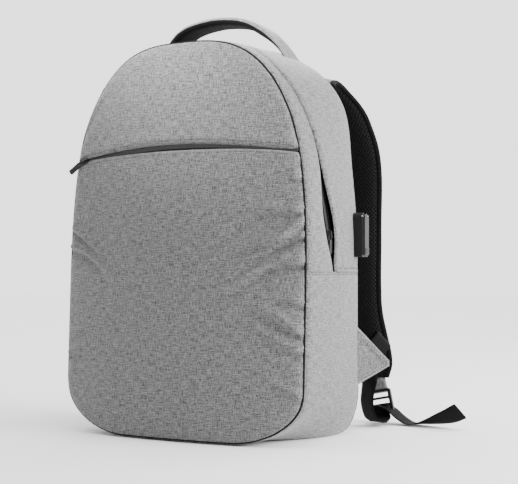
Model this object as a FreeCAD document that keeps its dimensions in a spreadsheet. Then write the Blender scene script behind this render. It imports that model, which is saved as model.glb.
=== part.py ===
import FreeCAD, Part
import math
import os
import Sketcher
from FreeCAD import Placement, Rotation, Vector

# A commuter backpack with a hidden-zip main compartment, a front pocket and a charging port.
# Millimetres. +Z is up, the front faces -Y, the shoulder straps are on +Y and the charging
# port is on +X. The origin is the middle of the base, on the floor.

doc = FreeCAD.newDocument("backpack")
dims = doc.addObject("Spreadsheet::Sheet", "dims")

SIZES = {
    "width": 300,            # side to side
    "depth": 150,            # front seam to back panel, at the base
    "height": 450,           # floor to the top of the body
    "lean": 20,              # how far the front comes back at the top
    "crown": 15,             # how far the front panel bulges in its middle
    "top_radius": 145,       # arch of the top corners
    "base_radius": 40,       # rounding of the bottom corners
    "wall": 3,               # padded fabric
    "front_return": 11,      # depth of the front panel's edge, behind its seam
    "back_return": 6,        # depth of the back panel's edge
    "lining": 1.5,           # thin fabric inside
    "seam": 0.05,            # hairline between pieces sewn edge to edge
    "seam_height": 187,      # where the upper gusset meets the lower side panel
    "zip_low_y": 4.5,        # the main zip where it leaves the seam
    "zip_bend_y": -34.5,     # the main zip where it turns to follow the front
    "zip_bend_height": 344,
    "zip_top_y": -33,
    "flap_height": 240,      # level of the line on which the front folds open
    "fold_angle": 22.5,      # half of the fold's wedge
    "fold_reach": 150,       # how far in front of the fold's line its wedge is drawn
    "fold_tip": 6,           # the wedge stops this far short of its line
    "tape": 9,               # width of one half of the main zip
    "zip_gap": 2,            # clear slot along the middle of a zip
    "joint_gap": 0.4,        # clearance between pieces that part
    "pocket_zip_height": 326,
    "pocket_zip_sag": 11,    # how much lower its ends are than its middle
    "pocket_tape": 6,
    "base_return": 90,       # half-width of the bottom panel
    "sleeve_half": 130,      # half-width of the laptop sleeve
    "sleeve_front": 36,
    "sleeve_top": 300,
    "back_pad": 9,
    "pad_corner": 18,
    "strap_thickness": 11,
    "strap_top_y": 80,
    "strap_top_z": 404,
    "strap_end_x": 134,      # where a shoulder strap's lower end stands
    "strap_end_slope": 12,   # outward slope of that end, degrees
    "webbing_width": 25,
    "webbing_thickness": 1.6,
    "handle_width": 38,
    "handle_y": 35,
    "handle_pivot": 447,
    "port_y": 63,
    "port_low": 204,
    "port_tall": 51,
    "port_wide": 18,
    "port_proud": 18,
    "cover": 2.2,
}

for row, (alias, value) in enumerate(SIZES.items(), start=1):
    dims.set(f"A{row}", alias)
    dims.set(f"B{row}", str(value))
    dims.setAlias(f"B{row}", alias)
doc.recompute()

REACH = 400      # tools that cut right across the bag are this wide
parts = []       # every sub-part that is written to its own file


def size(expression):
    """The number that an expression on the sheet comes to now."""
    return float(dims.evalExpression(expression))


def sub_part(piece, label):
    """Names a finished piece and lists it for writing."""
    piece.Label = label
    parts.append(piece)
    return piece


def outline(body, role, corners):
    """A closed polygon sketch on one of the body's origin planes, with each corner held by the sheet."""
    sketch = body.newObject("Sketcher::SketchObject", body.Name + "_outline")
    plane = next(f for f in body.Origin.OriginFeatures if f.Role == role)
    sketch.AttachmentSupport = [(plane, "")]
    sketch.MapMode = "FlatFace"
    points = [Vector(size(x), size(y), 0) for x, y in corners]
    count = len(points)
    for i in range(count):
        sketch.addGeometry(Part.LineSegment(points[i], points[(i + 1) % count]))
    for i in range(count):
        sketch.addConstraint(Sketcher.Constraint("Coincident", i, 2, (i + 1) % count, 1))
    for i, (x, y) in enumerate(corners):
        for kind, expression in (("DistanceX", x), ("DistanceY", y)):
            held = Sketcher.Constraint(kind, -1, 1, i, 1, size(expression))
            sketch.setExpression(f"Constraints[{sketch.addConstraint(held)}]", expression)
    return sketch


def prism(name, role, corners, length, side="Symmetric", reverse=False):
    """A body padded from a polygon on an origin plane."""
    body = doc.addObject("PartDesign::Body", name)
    sketch = outline(body, role, corners)
    pad = body.newObject("PartDesign::Pad", name + "_pad")
    pad.Profile = sketch
    pad.SideType = side
    pad.Reversed = reverse
    pad.setExpression("Length", length)
    sketch.Visibility = False
    return body


def rectangle(low_x, low_y, high_x, high_y):
    return [(low_x, low_y), (high_x, low_y), (high_x, high_y), (low_x, high_y)]


def box(name, low, spans):
    """A box with its low corner and its spans given as expressions."""
    piece = doc.addObject("Part::Box", name)
    for prop, expression in zip(("Length", "Width", "Height"), spans):
        piece.setExpression(prop, expression)
    for axis, expression in zip("xyz", low):
        piece.setExpression("Placement.Base." + axis, expression)
    return piece


def common(name, *pieces):
    piece = doc.addObject("Part::MultiCommon", name)
    piece.Shapes = list(pieces)
    return piece


def fuse(name, *pieces):
    piece = doc.addObject("Part::MultiFuse", name)
    piece.Shapes = list(pieces)
    return piece


def cut(name, base, tool):
    piece = doc.addObject("Part::Cut", name)
    piece.Base = base
    piece.Tool = tool
    return piece


def mirrored(name, source):
    """The same piece on the other side of the bag."""
    piece = doc.addObject("Part::Mirroring", name)
    piece.Source = source
    piece.Normal = Vector(1, 0, 0)
    return piece


def round_edges(body, radius, chosen):
    """A fillet in a body, on the edges of its tip that the test picks."""
    doc.recompute()
    base = body.Tip
    names = [f"Edge{i}" for i, edge in enumerate(base.Shape.Edges, start=1) if chosen(edge)]
    fillet = body.newObject("PartDesign::Fillet", body.Name + "_round")
    fillet.Base = (base, names)
    fillet.setExpression("Radius", radius)
    return fillet


def along(edge, axis):
    """True for a straight edge that runs along an axis."""
    first, last = edge.Vertexes[0].Point, edge.Vertexes[-1].Point
    return len(edge.Vertexes) == 2 and first.sub(last).cross(axis).Length < 1e-6


# The body of the bag ---------------------------------------------------------------------

FRONT = "(-dims.depth/2)"
BACK = "(dims.depth/2)"
BACK_EDGE = f"{BACK} - dims.wall - dims.back_return"   # where the back panel's own edge begins


def front_line(offset):
    """Two corners of the leaning front, moved back by offset: at the floor and at the top."""
    return (f"{FRONT} + {offset}", "0"), (f"{FRONT} + {offset} + dims.lean", "dims.height")


def envelope(name, inset):
    """The whole bag as one block, drawn in by inset on every face."""
    low, high = f"{inset}", f"dims.height - {inset}"
    run = f"(dims.lean/dims.height*{inset})"
    corners = [
        (f"{FRONT} - dims.crown - 10 + {run}", low),
        (f"{BACK} - {inset}", low),
        (f"{BACK} - {inset}", high),
        (f"{FRONT} - dims.crown - 10 + dims.lean - {run}", high),
    ]
    block = prism(name + "_block", "YZ_Plane", corners, f"dims.width - 2*{inset}")
    y_axis = Vector(0, 1, 0)
    round_edges(block, f"dims.top_radius - {inset}",
                lambda e: e.BoundBox.ZMin > size("dims.height/2") and along(e, y_axis))
    round_edges(block, f"dims.base_radius - {inset}",
                lambda e: e.BoundBox.ZMax < size("dims.height/2") and along(e, y_axis))
    crown = doc.addObject("Part::Cylinder", name + "_crown")
    radius = "((dims.width^2/4 + dims.crown^2)/(2*dims.crown))"
    crown.setExpression("Radius", f"{radius} - {inset}")
    crown.setExpression("Height", "dims.height*2")
    slope = math.degrees(math.atan(size("dims.lean/dims.height")))
    start = Vector(0, size(f"{FRONT} - dims.crown + {radius} - dims.lean/2"), size("-dims.height/2"))
    crown.Placement = Placement(start, Rotation(Vector(1, 0, 0), -slope))
    return common(name, block, crown)


outer = envelope("outer", "0")
inner = envelope("inner", "dims.wall")
shell = cut("shell", outer, inner)


def zip_line(offset):
    """The main zip seen from the side, moved back by offset: three corners from the seam upward."""
    return [
        (f"dims.zip_low_y + {offset}", "dims.seam_height"),
        (f"dims.zip_bend_y + {offset}", "dims.zip_bend_height"),
        (f"dims.zip_top_y + {offset}", "dims.height + 5"),
    ]


# The line the front folds open on lies on the zip's lower run.
AXIS_Y = ("(dims.zip_low_y + (dims.zip_bend_y - dims.zip_low_y)"
          "*(dims.flap_height - dims.seam_height)/(dims.zip_bend_height - dims.seam_height))")
FOLD_RISE = "(dims.fold_reach*tan(dims.fold_angle))"
FAR = f"({AXIS_Y} - dims.fold_reach)"


def slab(name, corners):
    """A tool with the same side outline right across the bag."""
    return prism(name, "YZ_Plane", corners, f"{REACH}")


front_side = slab("front_side", [("-200", "-5"), front_line("dims.front_return")[0],
                                 front_line("dims.front_return")[1], ("-200", "dims.height + 5")])
doc.recompute()


def gusset_slab(name, near, far):
    """A tool between the front panel's return, or a line beside the zip, and another such line."""
    return slab(name, near + far[::-1])


HALF_GAP = "dims.zip_gap/2"
TAPE_EDGE = "(dims.zip_gap/2 + dims.tape)"
LEAN_AT_SEAM = f"{FRONT} + dims.front_return + dims.lean*dims.seam_height/dims.height"
BEHIND_FOLD = f"{AXIS_Y} + dims.fold_reach"
above_fold = slab("above_fold", [
    (BEHIND_FOLD, "dims.flap_height + dims.joint_gap"),
    (AXIS_Y, "dims.flap_height + dims.joint_gap"),
    (FAR, f"dims.flap_height + dims.joint_gap + {FOLD_RISE}"),
    (FAR, "dims.height + 20"),
    (BEHIND_FOLD, "dims.height + 20"),
])
below_fold = slab("below_fold", [
    (AXIS_Y, "dims.flap_height - dims.joint_gap"),
    (FAR, f"dims.flap_height - dims.joint_gap - {FOLD_RISE}"),
    (FAR, "-20"),
    (BEHIND_FOLD, "-20"),
    (BEHIND_FOLD, "dims.flap_height - dims.joint_gap"),
])
fold_wedge = slab("fold_wedge", [
    (f"{AXIS_Y} - dims.fold_tip", "dims.flap_height + dims.fold_tip*tan(dims.fold_angle)"),
    (f"{AXIS_Y} - dims.fold_tip", "dims.flap_height - dims.fold_tip*tan(dims.fold_angle)"),
    (FAR, f"dims.flap_height - {FOLD_RISE}"),
    (FAR, f"dims.flap_height + {FOLD_RISE}"),
])
front_skin = common("front_skin", shell, front_side)
side_skin = cut("side_skin", shell, front_side)

# The arched zip of the front pocket runs in a tilted plane, because the front panel bulges.
ARC_RISE = "sqrt(dims.crown^2 + dims.pocket_zip_sag^2)"
ARC_RADIUS = f"((dims.width^2/4 + {ARC_RISE}^2)/(2*{ARC_RISE}))"
arc_out = Vector(0, -size("dims.crown"), size("dims.pocket_zip_sag")).normalize()
arc_axis = Vector(0, arc_out.z, -arc_out.y)
arc_radius = size(ARC_RADIUS)
zip_lean = size("dims.lean/dims.height")
arc_middle = Vector(0, size(f"{FRONT} - dims.crown") + zip_lean * size("dims.pocket_zip_height"),
                    size("dims.pocket_zip_height"))
arc_centre = arc_middle - arc_out * arc_radius
arc_frame = Placement(arc_centre, Rotation(arc_out, Vector(1, 0, 0), arc_axis, "XYZ"))
arc_half_angle = math.degrees(math.asin(size("dims.width/2 - 2.5") / arc_radius))


def arc_band(name, low, high, front, depth, half_angle):
    """A band turned about the pocket zip's axis.

    low and high are distances up the panel from the zip's middle line; front and depth are
    how far its face stands out and how deep it goes.
    """
    up = Vector(0, zip_lean, 1).normalize()
    out = Vector(0, -1, zip_lean).normalize()
    corners = []
    for rise, stand in ((low, front), (high, front), (high, front - depth), (low, front - depth)):
        point = up * rise + out * stand
        corners.append((str(arc_radius + point.dot(arc_out)), str(point.dot(arc_axis))))
    body = doc.addObject("PartDesign::Body", name)
    sketch = outline(body, "XZ_Plane", corners)
    band = body.newObject("PartDesign::Revolution", name + "_turn")
    band.Profile = sketch
    band.ReferenceAxis = (sketch, ["V_Axis"])
    band.Midplane = True
    band.Angle = 2 * half_angle
    body.Placement = arc_frame
    return body


ZIP_SLOT = size(HALF_GAP) + size("dims.pocket_tape")
zip_slot = arc_band("zip_slot", -ZIP_SLOT, ZIP_SLOT, 14, 30, arc_half_angle + 3)
above_pocket = arc_band("above_pocket", ZIP_SLOT, 190, 60, 150, 20)
below_pocket = arc_band("below_pocket", -190, -ZIP_SLOT, 60, 150, 20)


def front_panels():
    """The front face: upper panel, pocket panel, its fold and its lower end."""
    sub_part(common("upper_front", front_skin, above_pocket, above_fold), "upper_front_panel")
    sub_part(common("pocket_front", front_skin, below_pocket, above_fold), "pocket_panel")
    sub_part(common("fold_front", front_skin, fold_wedge), "front_fold")
    sub_part(common("lower_front", front_skin, below_fold), "lower_front_panel")


def pocket_zip():
    """Two zip tapes with a clear slot between them, for the slider's neck."""
    half_gap, tape = size(HALF_GAP), size("dims.pocket_tape")
    for label, low, high in (("pocket_zip_upper", half_gap, half_gap + tape - 0.1),
                             ("pocket_zip_lower", -half_gap - tape + 0.1, -half_gap)):
        sub_part(arc_band(label + "_band", low, high, -0.6, 1.8, arc_half_angle), label)


def pocket_lining():
    """The inner wall of the front pocket, sewn in all round, with its own fold."""
    near, far = front_line("dims.front_return + 0.1"), front_line("dims.front_return + 0.1 + dims.lining")
    sheet = common("lining_sheet", inner, slab("lining_slab", [near[0], far[0], far[1], near[1]]))
    for name, zone, label in (("lining_top", above_fold, "pocket_lining_upper"),
                              ("lining_fold", fold_wedge, "pocket_lining_fold"),
                              ("lining_base", below_fold, "pocket_lining_lower")):
        sub_part(common(name, sheet, zone), label)


def gussets():
    """The strip beside the zip in front, the zip's two halves, and the strip behind."""
    edge = f"{FRONT} + dims.front_return + dims.seam + dims.lean/dims.height"
    near = [(f"{edge}*{level}", level) for level in
            ("dims.seam_height", "dims.zip_bend_height", "(dims.height + 5)")]
    front_strip = gusset_slab("front_strip", near, zip_line(f"-{TAPE_EDGE}"))
    front_half = gusset_slab("front_half", zip_line(f"-{TAPE_EDGE} + dims.seam"), zip_line(f"-{HALF_GAP}"))
    rear_half = gusset_slab("rear_half", zip_line(HALF_GAP), zip_line(f"{TAPE_EDGE} - dims.seam"))
    rear_strip = slab("rear_strip", zip_line(TAPE_EDGE) + [
        (BACK_EDGE, "dims.height + 5"), (BACK_EDGE, "dims.seam_height")])
    front = common("front_gusset_all", side_skin, front_strip)
    sub_part(common("gusset_top", front, above_fold), "front_gusset")
    sub_part(common("gusset_fold", front, fold_wedge), "gusset_fold")
    sub_part(common("gusset_base", front, below_fold), "gusset_foot")
    sub_part(common("zip_front", side_skin, front_half, above_fold), "main_zip_front")
    sub_part(common("zip_foot", side_skin, front_half, below_fold), "main_zip_foot")
    sub_part(common("zip_rear", side_skin, rear_half), "main_zip_rear")
    window = box("port_window", ("dims.width/2 - dims.wall - 1", "dims.port_y - 8.2", "dims.port_low + 18"),
                 ("dims.wall + 2", "11", "18"))
    sub_part(cut("gusset_rear", common("rear_band", side_skin, rear_strip), window), "rear_gusset")


def lower_body():
    """Side panels with their rounded corners, and the bottom between them."""
    zone = [(f"{FRONT} + dims.front_return + dims.seam", "-5"), (BACK_EDGE, "-5"),
            (BACK_EDGE, "dims.seam_height - dims.seam"),
            (LEAN_AT_SEAM + " + dims.seam", "dims.seam_height - dims.seam")]
    ring = common("lower_ring", side_skin, slab("lower_zone", zone))
    right = box("right_half", ("dims.base_return", "-200", "-10"), ("200", "400", "600"))
    side = common("side_right", ring, right)
    sub_part(side, "side_panel_right")
    sub_part(mirrored("side_left", side), "side_panel_left")
    middle = box("middle", ("-dims.base_return + dims.seam", "-200", "-10"),
                 ("2*(dims.base_return - dims.seam)", "400", "60"))
    sub_part(common("bottom", ring, middle), "bottom_panel")
    board = box("board", ("-dims.base_return + 5", f"{FRONT} + dims.front_return + 6", "dims.wall + dims.seam"),
                ("2*(dims.base_return - 5)", "dims.depth - dims.front_return - 16", "2"))
    sub_part(board, "bottom_board")


BACK_PADS = (   # name, then its low corner and its high corner seen from behind
    ("back_pad_right", "12", "150", "114", "385"),
    ("lumbar_pad", "-114", "38", "114", "138"),
)


def back_body():
    """The back panel, the foam sheet inside it and the pads outside it."""
    back_zone = box("back_zone", ("-200", f"{BACK_EDGE} + dims.seam", "-5"), ("400", "60", "600"))
    sub_part(common("back_wall", shell, back_zone), "back_panel")
    trimmed = envelope("foam_space", "(dims.wall + 2)")
    core = box("back_core_slab", ("-200", f"{BACK_EDGE} + 0.5", "-5"), ("400", "2.5", "600"))
    sub_part(common("back_core", trimmed, core), "back_foam")
    for name, low_x, low_z, high_x, high_z in BACK_PADS:
        pad = prism(name + "_body", "XZ_Plane", rectangle(low_x, low_z, high_x, high_z),
                    "dims.back_pad", side="One side", reverse=True)
        round_edges(pad, "dims.pad_corner", lambda e: along(e, Vector(0, 1, 0)))
        pad.setExpression("Placement.Base.y", f"{BACK} + 0.1")
        sub_part(pad, name)
        if name == "back_pad_right":
            sub_part(mirrored("back_pad_mirror", pad), "back_pad_left")


def open_pouch(name, low, high, wall, open_face_up):
    """A padded pocket: a block hollowed from its top."""
    block = box(name + "_block", low, [f"({b}) - ({a})" for a, b in zip(low, high)])
    hollow = box(name + "_hollow", [f"{a} + {wall}" for a in low],
                 [f"({b}) - ({a}) - 2*{wall}" for a, b in zip(low[:2], high[:2])]
                 + [f"({high[2]}) - ({low[2]}) + {open_face_up}"])
    return cut(name, block, hollow)


def inside():
    """The laptop sleeve and the power bank's pocket."""
    sleeve = open_pouch("sleeve", ("-dims.sleeve_half", "dims.sleeve_front", "12"),
                        ("dims.sleeve_half", BACK_EDGE, "dims.sleeve_top"), "2.5", "5")
    sub_part(sleeve, "laptop_sleeve")
    pocket = open_pouch("bank_pocket", ("dims.width/2 - dims.wall - 27", "-45", "60"),
                        ("dims.width/2 - dims.wall - 0.2", "35", "178"), "dims.lining", "5")
    sub_part(pocket, "power_bank_pocket")


# Flat straps -------------------------------------------------------------------------------

def ribbon(start, heading, steps, thickness, width):
    """A flat strap that follows runs and tangent arcs in a vertical plane.

    Each step is ("run", length) or ("arc", radius, turn), with turns in degrees, left positive.
    The plane is local YZ, and the strap's width lies along local X.
    """
    def face_point(place, angle, offset):
        return Vector(0, place[0] - math.sin(angle) * offset, place[1] + math.cos(angle) * offset)

    place, angle = start, math.radians(heading)
    half = thickness / 2
    left, right = [], []
    for step in steps:
        begin, begin_angle = place, angle
        if step[0] == "run":
            place = (begin[0] + step[1] * math.cos(angle), begin[1] + step[1] * math.sin(angle))
            for side, offset in ((left, half), (right, -half)):
                side.append(Part.LineSegment(face_point(begin, angle, offset),
                                             face_point(place, angle, offset)))
            continue
        radius = step[1] * math.copysign(1, step[2])
        centre = (begin[0] - math.sin(angle) * radius, begin[1] + math.cos(angle) * radius)
        stops = [begin_angle + math.radians(step[2]) * k / 2 for k in range(3)]
        spots = [(centre[0] + math.sin(a) * radius, centre[1] - math.cos(a) * radius) for a in stops]
        for side, offset in ((left, half), (right, -half)):
            side.append(Part.Arc(*(face_point(p, a, offset) for p, a in zip(spots, stops))))
        place, angle = spots[2], stops[2]
    ends = [Part.LineSegment(left[0].StartPoint, right[0].StartPoint),
            Part.LineSegment(left[-1].EndPoint, right[-1].EndPoint)]
    edges = [curve.toShape() for curve in left + right + ends]
    face = Part.Face(Part.Wire(Part.sortEdges(edges)[0]))
    face.translate(Vector(-width / 2, 0, 0))
    return face.extrude(Vector(width, 0, 0)), (place, math.degrees(angle))


def feature(shape, label, placement=None):
    piece = doc.addObject("Part::Feature", label + "_shape")
    piece.Shape = shape
    if placement is not None:
        piece.Placement = placement
    return sub_part(piece, label)


STRAP_TURNS = (("arc", 24, -110), ("arc", 373, -30), ("run", 160))
STRAP_PLAN = (   # height, middle and half-width of a shoulder strap seen from behind
    (470, 77, 31), (418, 77, 31), (400, 91, 31), (383, 104, 31), (339, 114, 31), (310, 114, 31), (250, 109, 31),
    (180, 108, 31), (140, 109, 31), (110, 117, 30), (80, 127, 28), (66, 130, 24), (40, 135, 18),
)


def strap_plan(side, margin):
    """A tool with the strap's outline from behind, drawn in by margin."""
    outer_edge = [Vector(side * (mid + half - margin), 0, level) for level, mid, half in STRAP_PLAN]
    inner_edge = [Vector(side * (mid - half + margin), 0, level) for level, mid, half in STRAP_PLAN]
    edge = outer_edge + inner_edge[::-1]
    return Part.Face(Part.makePolygon(edge + edge[:1])).extrude(Vector(0, 400, 0))


def shoulder_strap(side, label):
    """A padded strap with its mesh face, its end tab and the buckle below it."""
    thick = size("dims.strap_thickness")
    frame = Placement(Vector(0, size("dims.strap_top_y"), size("dims.strap_top_z")), Rotation())
    start = (2 * math.cos(math.radians(50)), 2 * math.sin(math.radians(50)))
    core, (end, heading) = ribbon(start, 50, STRAP_TURNS, thick, REACH)
    core.Placement = frame
    feature(core.common(strap_plan(side, 0)), f"shoulder_strap_{label}")
    # the mesh lies on the strap's inner face, which is on its right as the strap goes down
    skin = 1.2
    gap = thick / 2 + skin / 2 + 0.05
    inside_start = (start[0] + math.sin(math.radians(50)) * gap, start[1] - math.cos(math.radians(50)) * gap)
    turns = [("arc", step[1] - gap, step[2]) if step[0] == "arc" else step for step in STRAP_TURNS]
    mesh, _ = ribbon(inside_start, 50, turns, skin, REACH)
    mesh.Placement = frame
    feature(mesh.common(strap_plan(side, 6)), f"strap_mesh_{label}")
    end_frame = Placement(frame.multVec(Vector(side * size("dims.strap_end_x"), *end)),
                          Rotation(Vector(0, 1, 0), -side * size("dims.strap_end_slope"))
                          * Rotation(Vector(1, 0, 0), heading + 90))
    feature(plate(32, 4, -15.2, -0.2), f"strap_tab_{label}", end_frame)
    lock_frame = end_frame * Placement(Vector(0, 0, -LOCK_DROP), Rotation())
    feature(ladder_lock(), f"ladder_lock_{label}", lock_frame)
    return lock_frame.Base


LOCK_DROP = 32       # from a strap's end down to the middle of its ladder lock
LOCK_WIDE = 34
LOCK_SLOT = 27       # length of the ladder lock's slots
LOCK_SLOTS = ((6.5, 13.0), (-2.5, 3.5), (-11.5, -6.0))   # low and high edge of each slot


def plate(wide, thick, low, high):
    """A flat block across local X, centred, between two levels."""
    return Part.makeBox(wide, thick, high - low, Vector(-wide / 2, -thick / 2, low))


def ladder_lock():
    """A frame with three slots and gripping bars between them, long side across the strap."""
    frame = plate(LOCK_WIDE, 4, -16, 16)
    frame = frame.makeFillet(3, [e for e in frame.Edges if along(e, Vector(0, 1, 0))])
    return frame.cut([plate(LOCK_SLOT, 10, low, high) for low, high in LOCK_SLOTS])


TAB_TIP = (172, 104, 86)      # where the webbing leaves the side tab
TAB_LOW, TAB_HIGH = 59, 128   # the tab's sewn edge, on the bag's rear corner
TAB_THICK = 3
LOOP_RADIUS = 13              # turn of the slack loop near the floor
TAIL_FALL = 40                # slope of the loose tail as it leaves the ladder lock, degrees
TAIL_BEND = 25


def anchor_tab(side, label, tip):
    """The stiff triangle sewn to the rear corner."""
    sewn_x = side * size("dims.width/2 - 1")
    corners = [Vector(sewn_x, size(BACK), TAB_LOW), Vector(sewn_x, size(BACK), TAB_HIGH),
               tip + Vector(side * 4, 4, 12), tip + Vector(side * 4, 4, -14)]
    face = Part.Face(Part.makePolygon(corners + corners[:1]))
    across = (corners[1] - corners[0]).cross(tip - corners[0]).normalize()
    face.translate(across * (-TAB_THICK / 2) + Vector(side * 1.2, 1.2, 0))
    feature(face.extrude(across * TAB_THICK), f"anchor_tab_{label}")


def webbing(side, label, lock_at, tail_turn):
    """The lower webbing: a slack loop from the side tab to the buckle, and the loose tail."""
    width, thick = size("dims.webbing_width"), size("dims.webbing_thickness")
    tip = Vector(side * TAB_TIP[0], *TAB_TIP[1:])
    anchor_tab(side, label, tip)
    loop_start = tip + Vector(side * 7, 7, 0)
    flat = Vector(lock_at.x - loop_start.x, lock_at.y - loop_start.y, 0)
    plane = Placement(Vector(loop_start.x, loop_start.y, 0),
                      Rotation(Vector(0, 0, 1), math.degrees(math.atan2(flat.y, flat.x)) - 90))
    down, turn = -93, 113
    low = LOOP_RADIUS * math.cos(math.radians(down + 90)) + thick / 2 + 1
    steps = [("run", loop_start.z - low), ("arc", LOOP_RADIUS, turn)]
    loop, _ = ribbon((0, loop_start.z), down, steps, thick, width)
    feature(loop, f"webbing_{label}", plane)
    tail_plane = Placement(Vector(lock_at.x, lock_at.y, 0), Rotation(Vector(0, 0, 1), tail_turn))
    tail_z = lock_at.z - 3
    fall = math.radians(TAIL_FALL)
    drop = tail_z - thick / 2 - 0.5
    slope_run = max((drop - TAIL_BEND * (1 - math.cos(fall))) / math.sin(fall), 1)
    steps = [("run", slope_run), ("arc", TAIL_BEND, TAIL_FALL), ("run", 26), ("arc", 60, 24)]
    tail, _ = ribbon((30, tail_z), -TAIL_FALL, steps, thick, width)
    feature(tail, f"webbing_tail_{label}", tail_plane)


def straps():
    for side, label, turn in ((1, "right", -101), (-1, "left", 78)):
        lock = shoulder_strap(side, label)
        webbing(side, label, lock, turn)


HANDLE_TURNS = (("run", 19), ("arc", 28, -35), ("arc", 175, -30), ("arc", 28, -35), ("run", 19))


def handle():
    """The carrying handle: grey outside, black inside, on two small sewn feet."""
    width = size("dims.handle_width")
    _, (end, _) = ribbon((0, 0), 50, HANDLE_TURNS, 2, width)
    upright = Placement(Vector(-end[0] / 2, size("dims.handle_y"), size("dims.handle_pivot") + 4.5),
                        Rotation(Vector(0, 0, 1), -90))
    outside, _ = ribbon((0, 0), 50, HANDLE_TURNS, 2, width)
    feature(outside, "handle_strap", upright)
    shift = 2.05
    inner_turns = [(s[0], s[1] - shift, s[2]) if s[0] == "arc" else s for s in HANDLE_TURNS]
    down = math.radians(50)
    lining, _ = ribbon((math.sin(down) * shift, -math.cos(down) * shift), 50, inner_turns, 2, width - 8)
    feature(lining, "handle_lining", upright)
    for label, side in (("left", -1), ("right", 1)):
        foot = prism(f"foot_{label}", "YZ_Plane",
                     [("dims.handle_y - 11", "dims.handle_pivot - 15"),
                      ("dims.handle_y + 11", "dims.handle_pivot - 15"),
                      ("dims.handle_y", "dims.handle_pivot + 1")], "8")
        foot.Placement = Placement(Vector(side * (end[0] / 2 - 1), 0, 0), Rotation())
        sub_part(cut(f"handle_foot_{label}_trim", foot, outer), f"handle_foot_{label}")


# Sliders and pulls ---------------------------------------------------------------------------

PIVOT_OUT = 2.9      # how far a pull's ring stands out from the fabric


def slider_shape():
    """Two plates and a neck, with a bridge for the pull. Local Z is the way it slides,
    local Y is out of the fabric and local X is across the zip. Local Y = 0 is the outer face."""
    top = Part.makeBox(8, 1.3, 11, Vector(-4, 0.5, -5.5))
    top = top.makeFillet(2.2, [e for e in top.Edges if along(e, Vector(0, 1, 0))])
    base = Part.makeBox(8, 1.2, 10, Vector(-4, -5.2, -5))
    neck = Part.makeBox(1.0, 5.2, 3.5, Vector(-0.5, -4.4, 1.2))
    bridge = Part.makeBox(1.6, 3.4, 8, Vector(-0.8, 1.6, -4))
    bridge = bridge.cut(Part.makeBox(4, 2.1, 5.4, Vector(-2, 1.85, -2.7)))
    return top.fuse([base, neck, bridge])


def pull_shape(length):
    """A ring through the bridge and a ribbed tab below it. Local -Z is where the tab points and
    local Y is out of the fabric. The ring's wire passes through the local origin."""
    wire = 0.55
    ring = Part.makeTorus(3.2, wire, Vector(0, 0, -3.2), Vector(0, 1, 0))
    tab = Part.makeBox(5.6, 2.4, length, Vector(-2.8, -1.2, -6.0 - length))
    tab = tab.makeFillet(1.0, [e for e in tab.Edges if along(e, Vector(0, 1, 0))])
    for k in range(5):
        notch = Part.makeBox(8, 1, 1.1, Vector(-4, 0.85, -10.5 - 2.6 * k))
        tab = tab.cut(notch)
    return ring.fuse(tab)


def main_sliders():
    """One slider each side, parked beside the fold, with its pull hanging."""
    rise = Vector(0, size("dims.zip_bend_y - dims.zip_low_y"),
                  size("dims.zip_bend_height - dims.seam_height")).normalize()
    height = 228
    y = size("dims.zip_low_y") + rise.y / rise.z * (height - size("dims.seam_height"))
    for side, label in ((1, "right"), (-1, "left")):
        out = Vector(side, 0, 0)
        turn = Rotation(out.cross(rise), out, rise, "ZYX")
        place = Vector(side * size("dims.width/2"), y, height)
        feature(slider_shape(), f"main_slider_{label}", Placement(place, turn))
        hang = Rotation(out.cross(Vector(0, 0, 1)), out, Vector(0, 0, 1), "ZYX")
        at = place + turn.multVec(Vector(0, PIVOT_OUT, 0))
        feature(pull_shape(15), f"main_pull_{label}", Placement(at, hang))


def pocket_slider():
    """The pocket's slider at the left end of its arc, with a longer pull drooping from it."""
    angle = -(arc_half_angle - 1.0)
    turn = Rotation(arc_axis, angle)
    spot = arc_centre + turn.multVec(arc_out * arc_radius)
    up = turn.multVec(Vector(0, zip_lean, 1).normalize())
    out = turn.multVec(Vector(0, -1, zip_lean).normalize())
    way = up.cross(out)
    place = Placement(spot, Rotation(up, out, way, "ZYX"))
    feature(slider_shape(), "pocket_slider", place)
    at = spot + out * PIVOT_OUT
    droop = Vector(-math.cos(math.radians(35)), 0, -math.sin(math.radians(35)))
    front = Vector(0, -1, 0)
    feature(pull_shape(17), "pocket_pull", Placement(at, Rotation(droop.cross(front), front, -droop, "ZYX")))


# The charging port ----------------------------------------------------------------------------

def cross_rod(name, radius, length, x, z):
    """A round rod along Y, centred on the port."""
    rod = doc.addObject("Part::Cylinder", name)
    rod.Radius = radius
    rod.Height = length
    rod.Placement = Placement(Vector(x, size("dims.port_y") - length / 2, z), Rotation(Vector(1, 0, 0), -90))
    return rod


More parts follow.
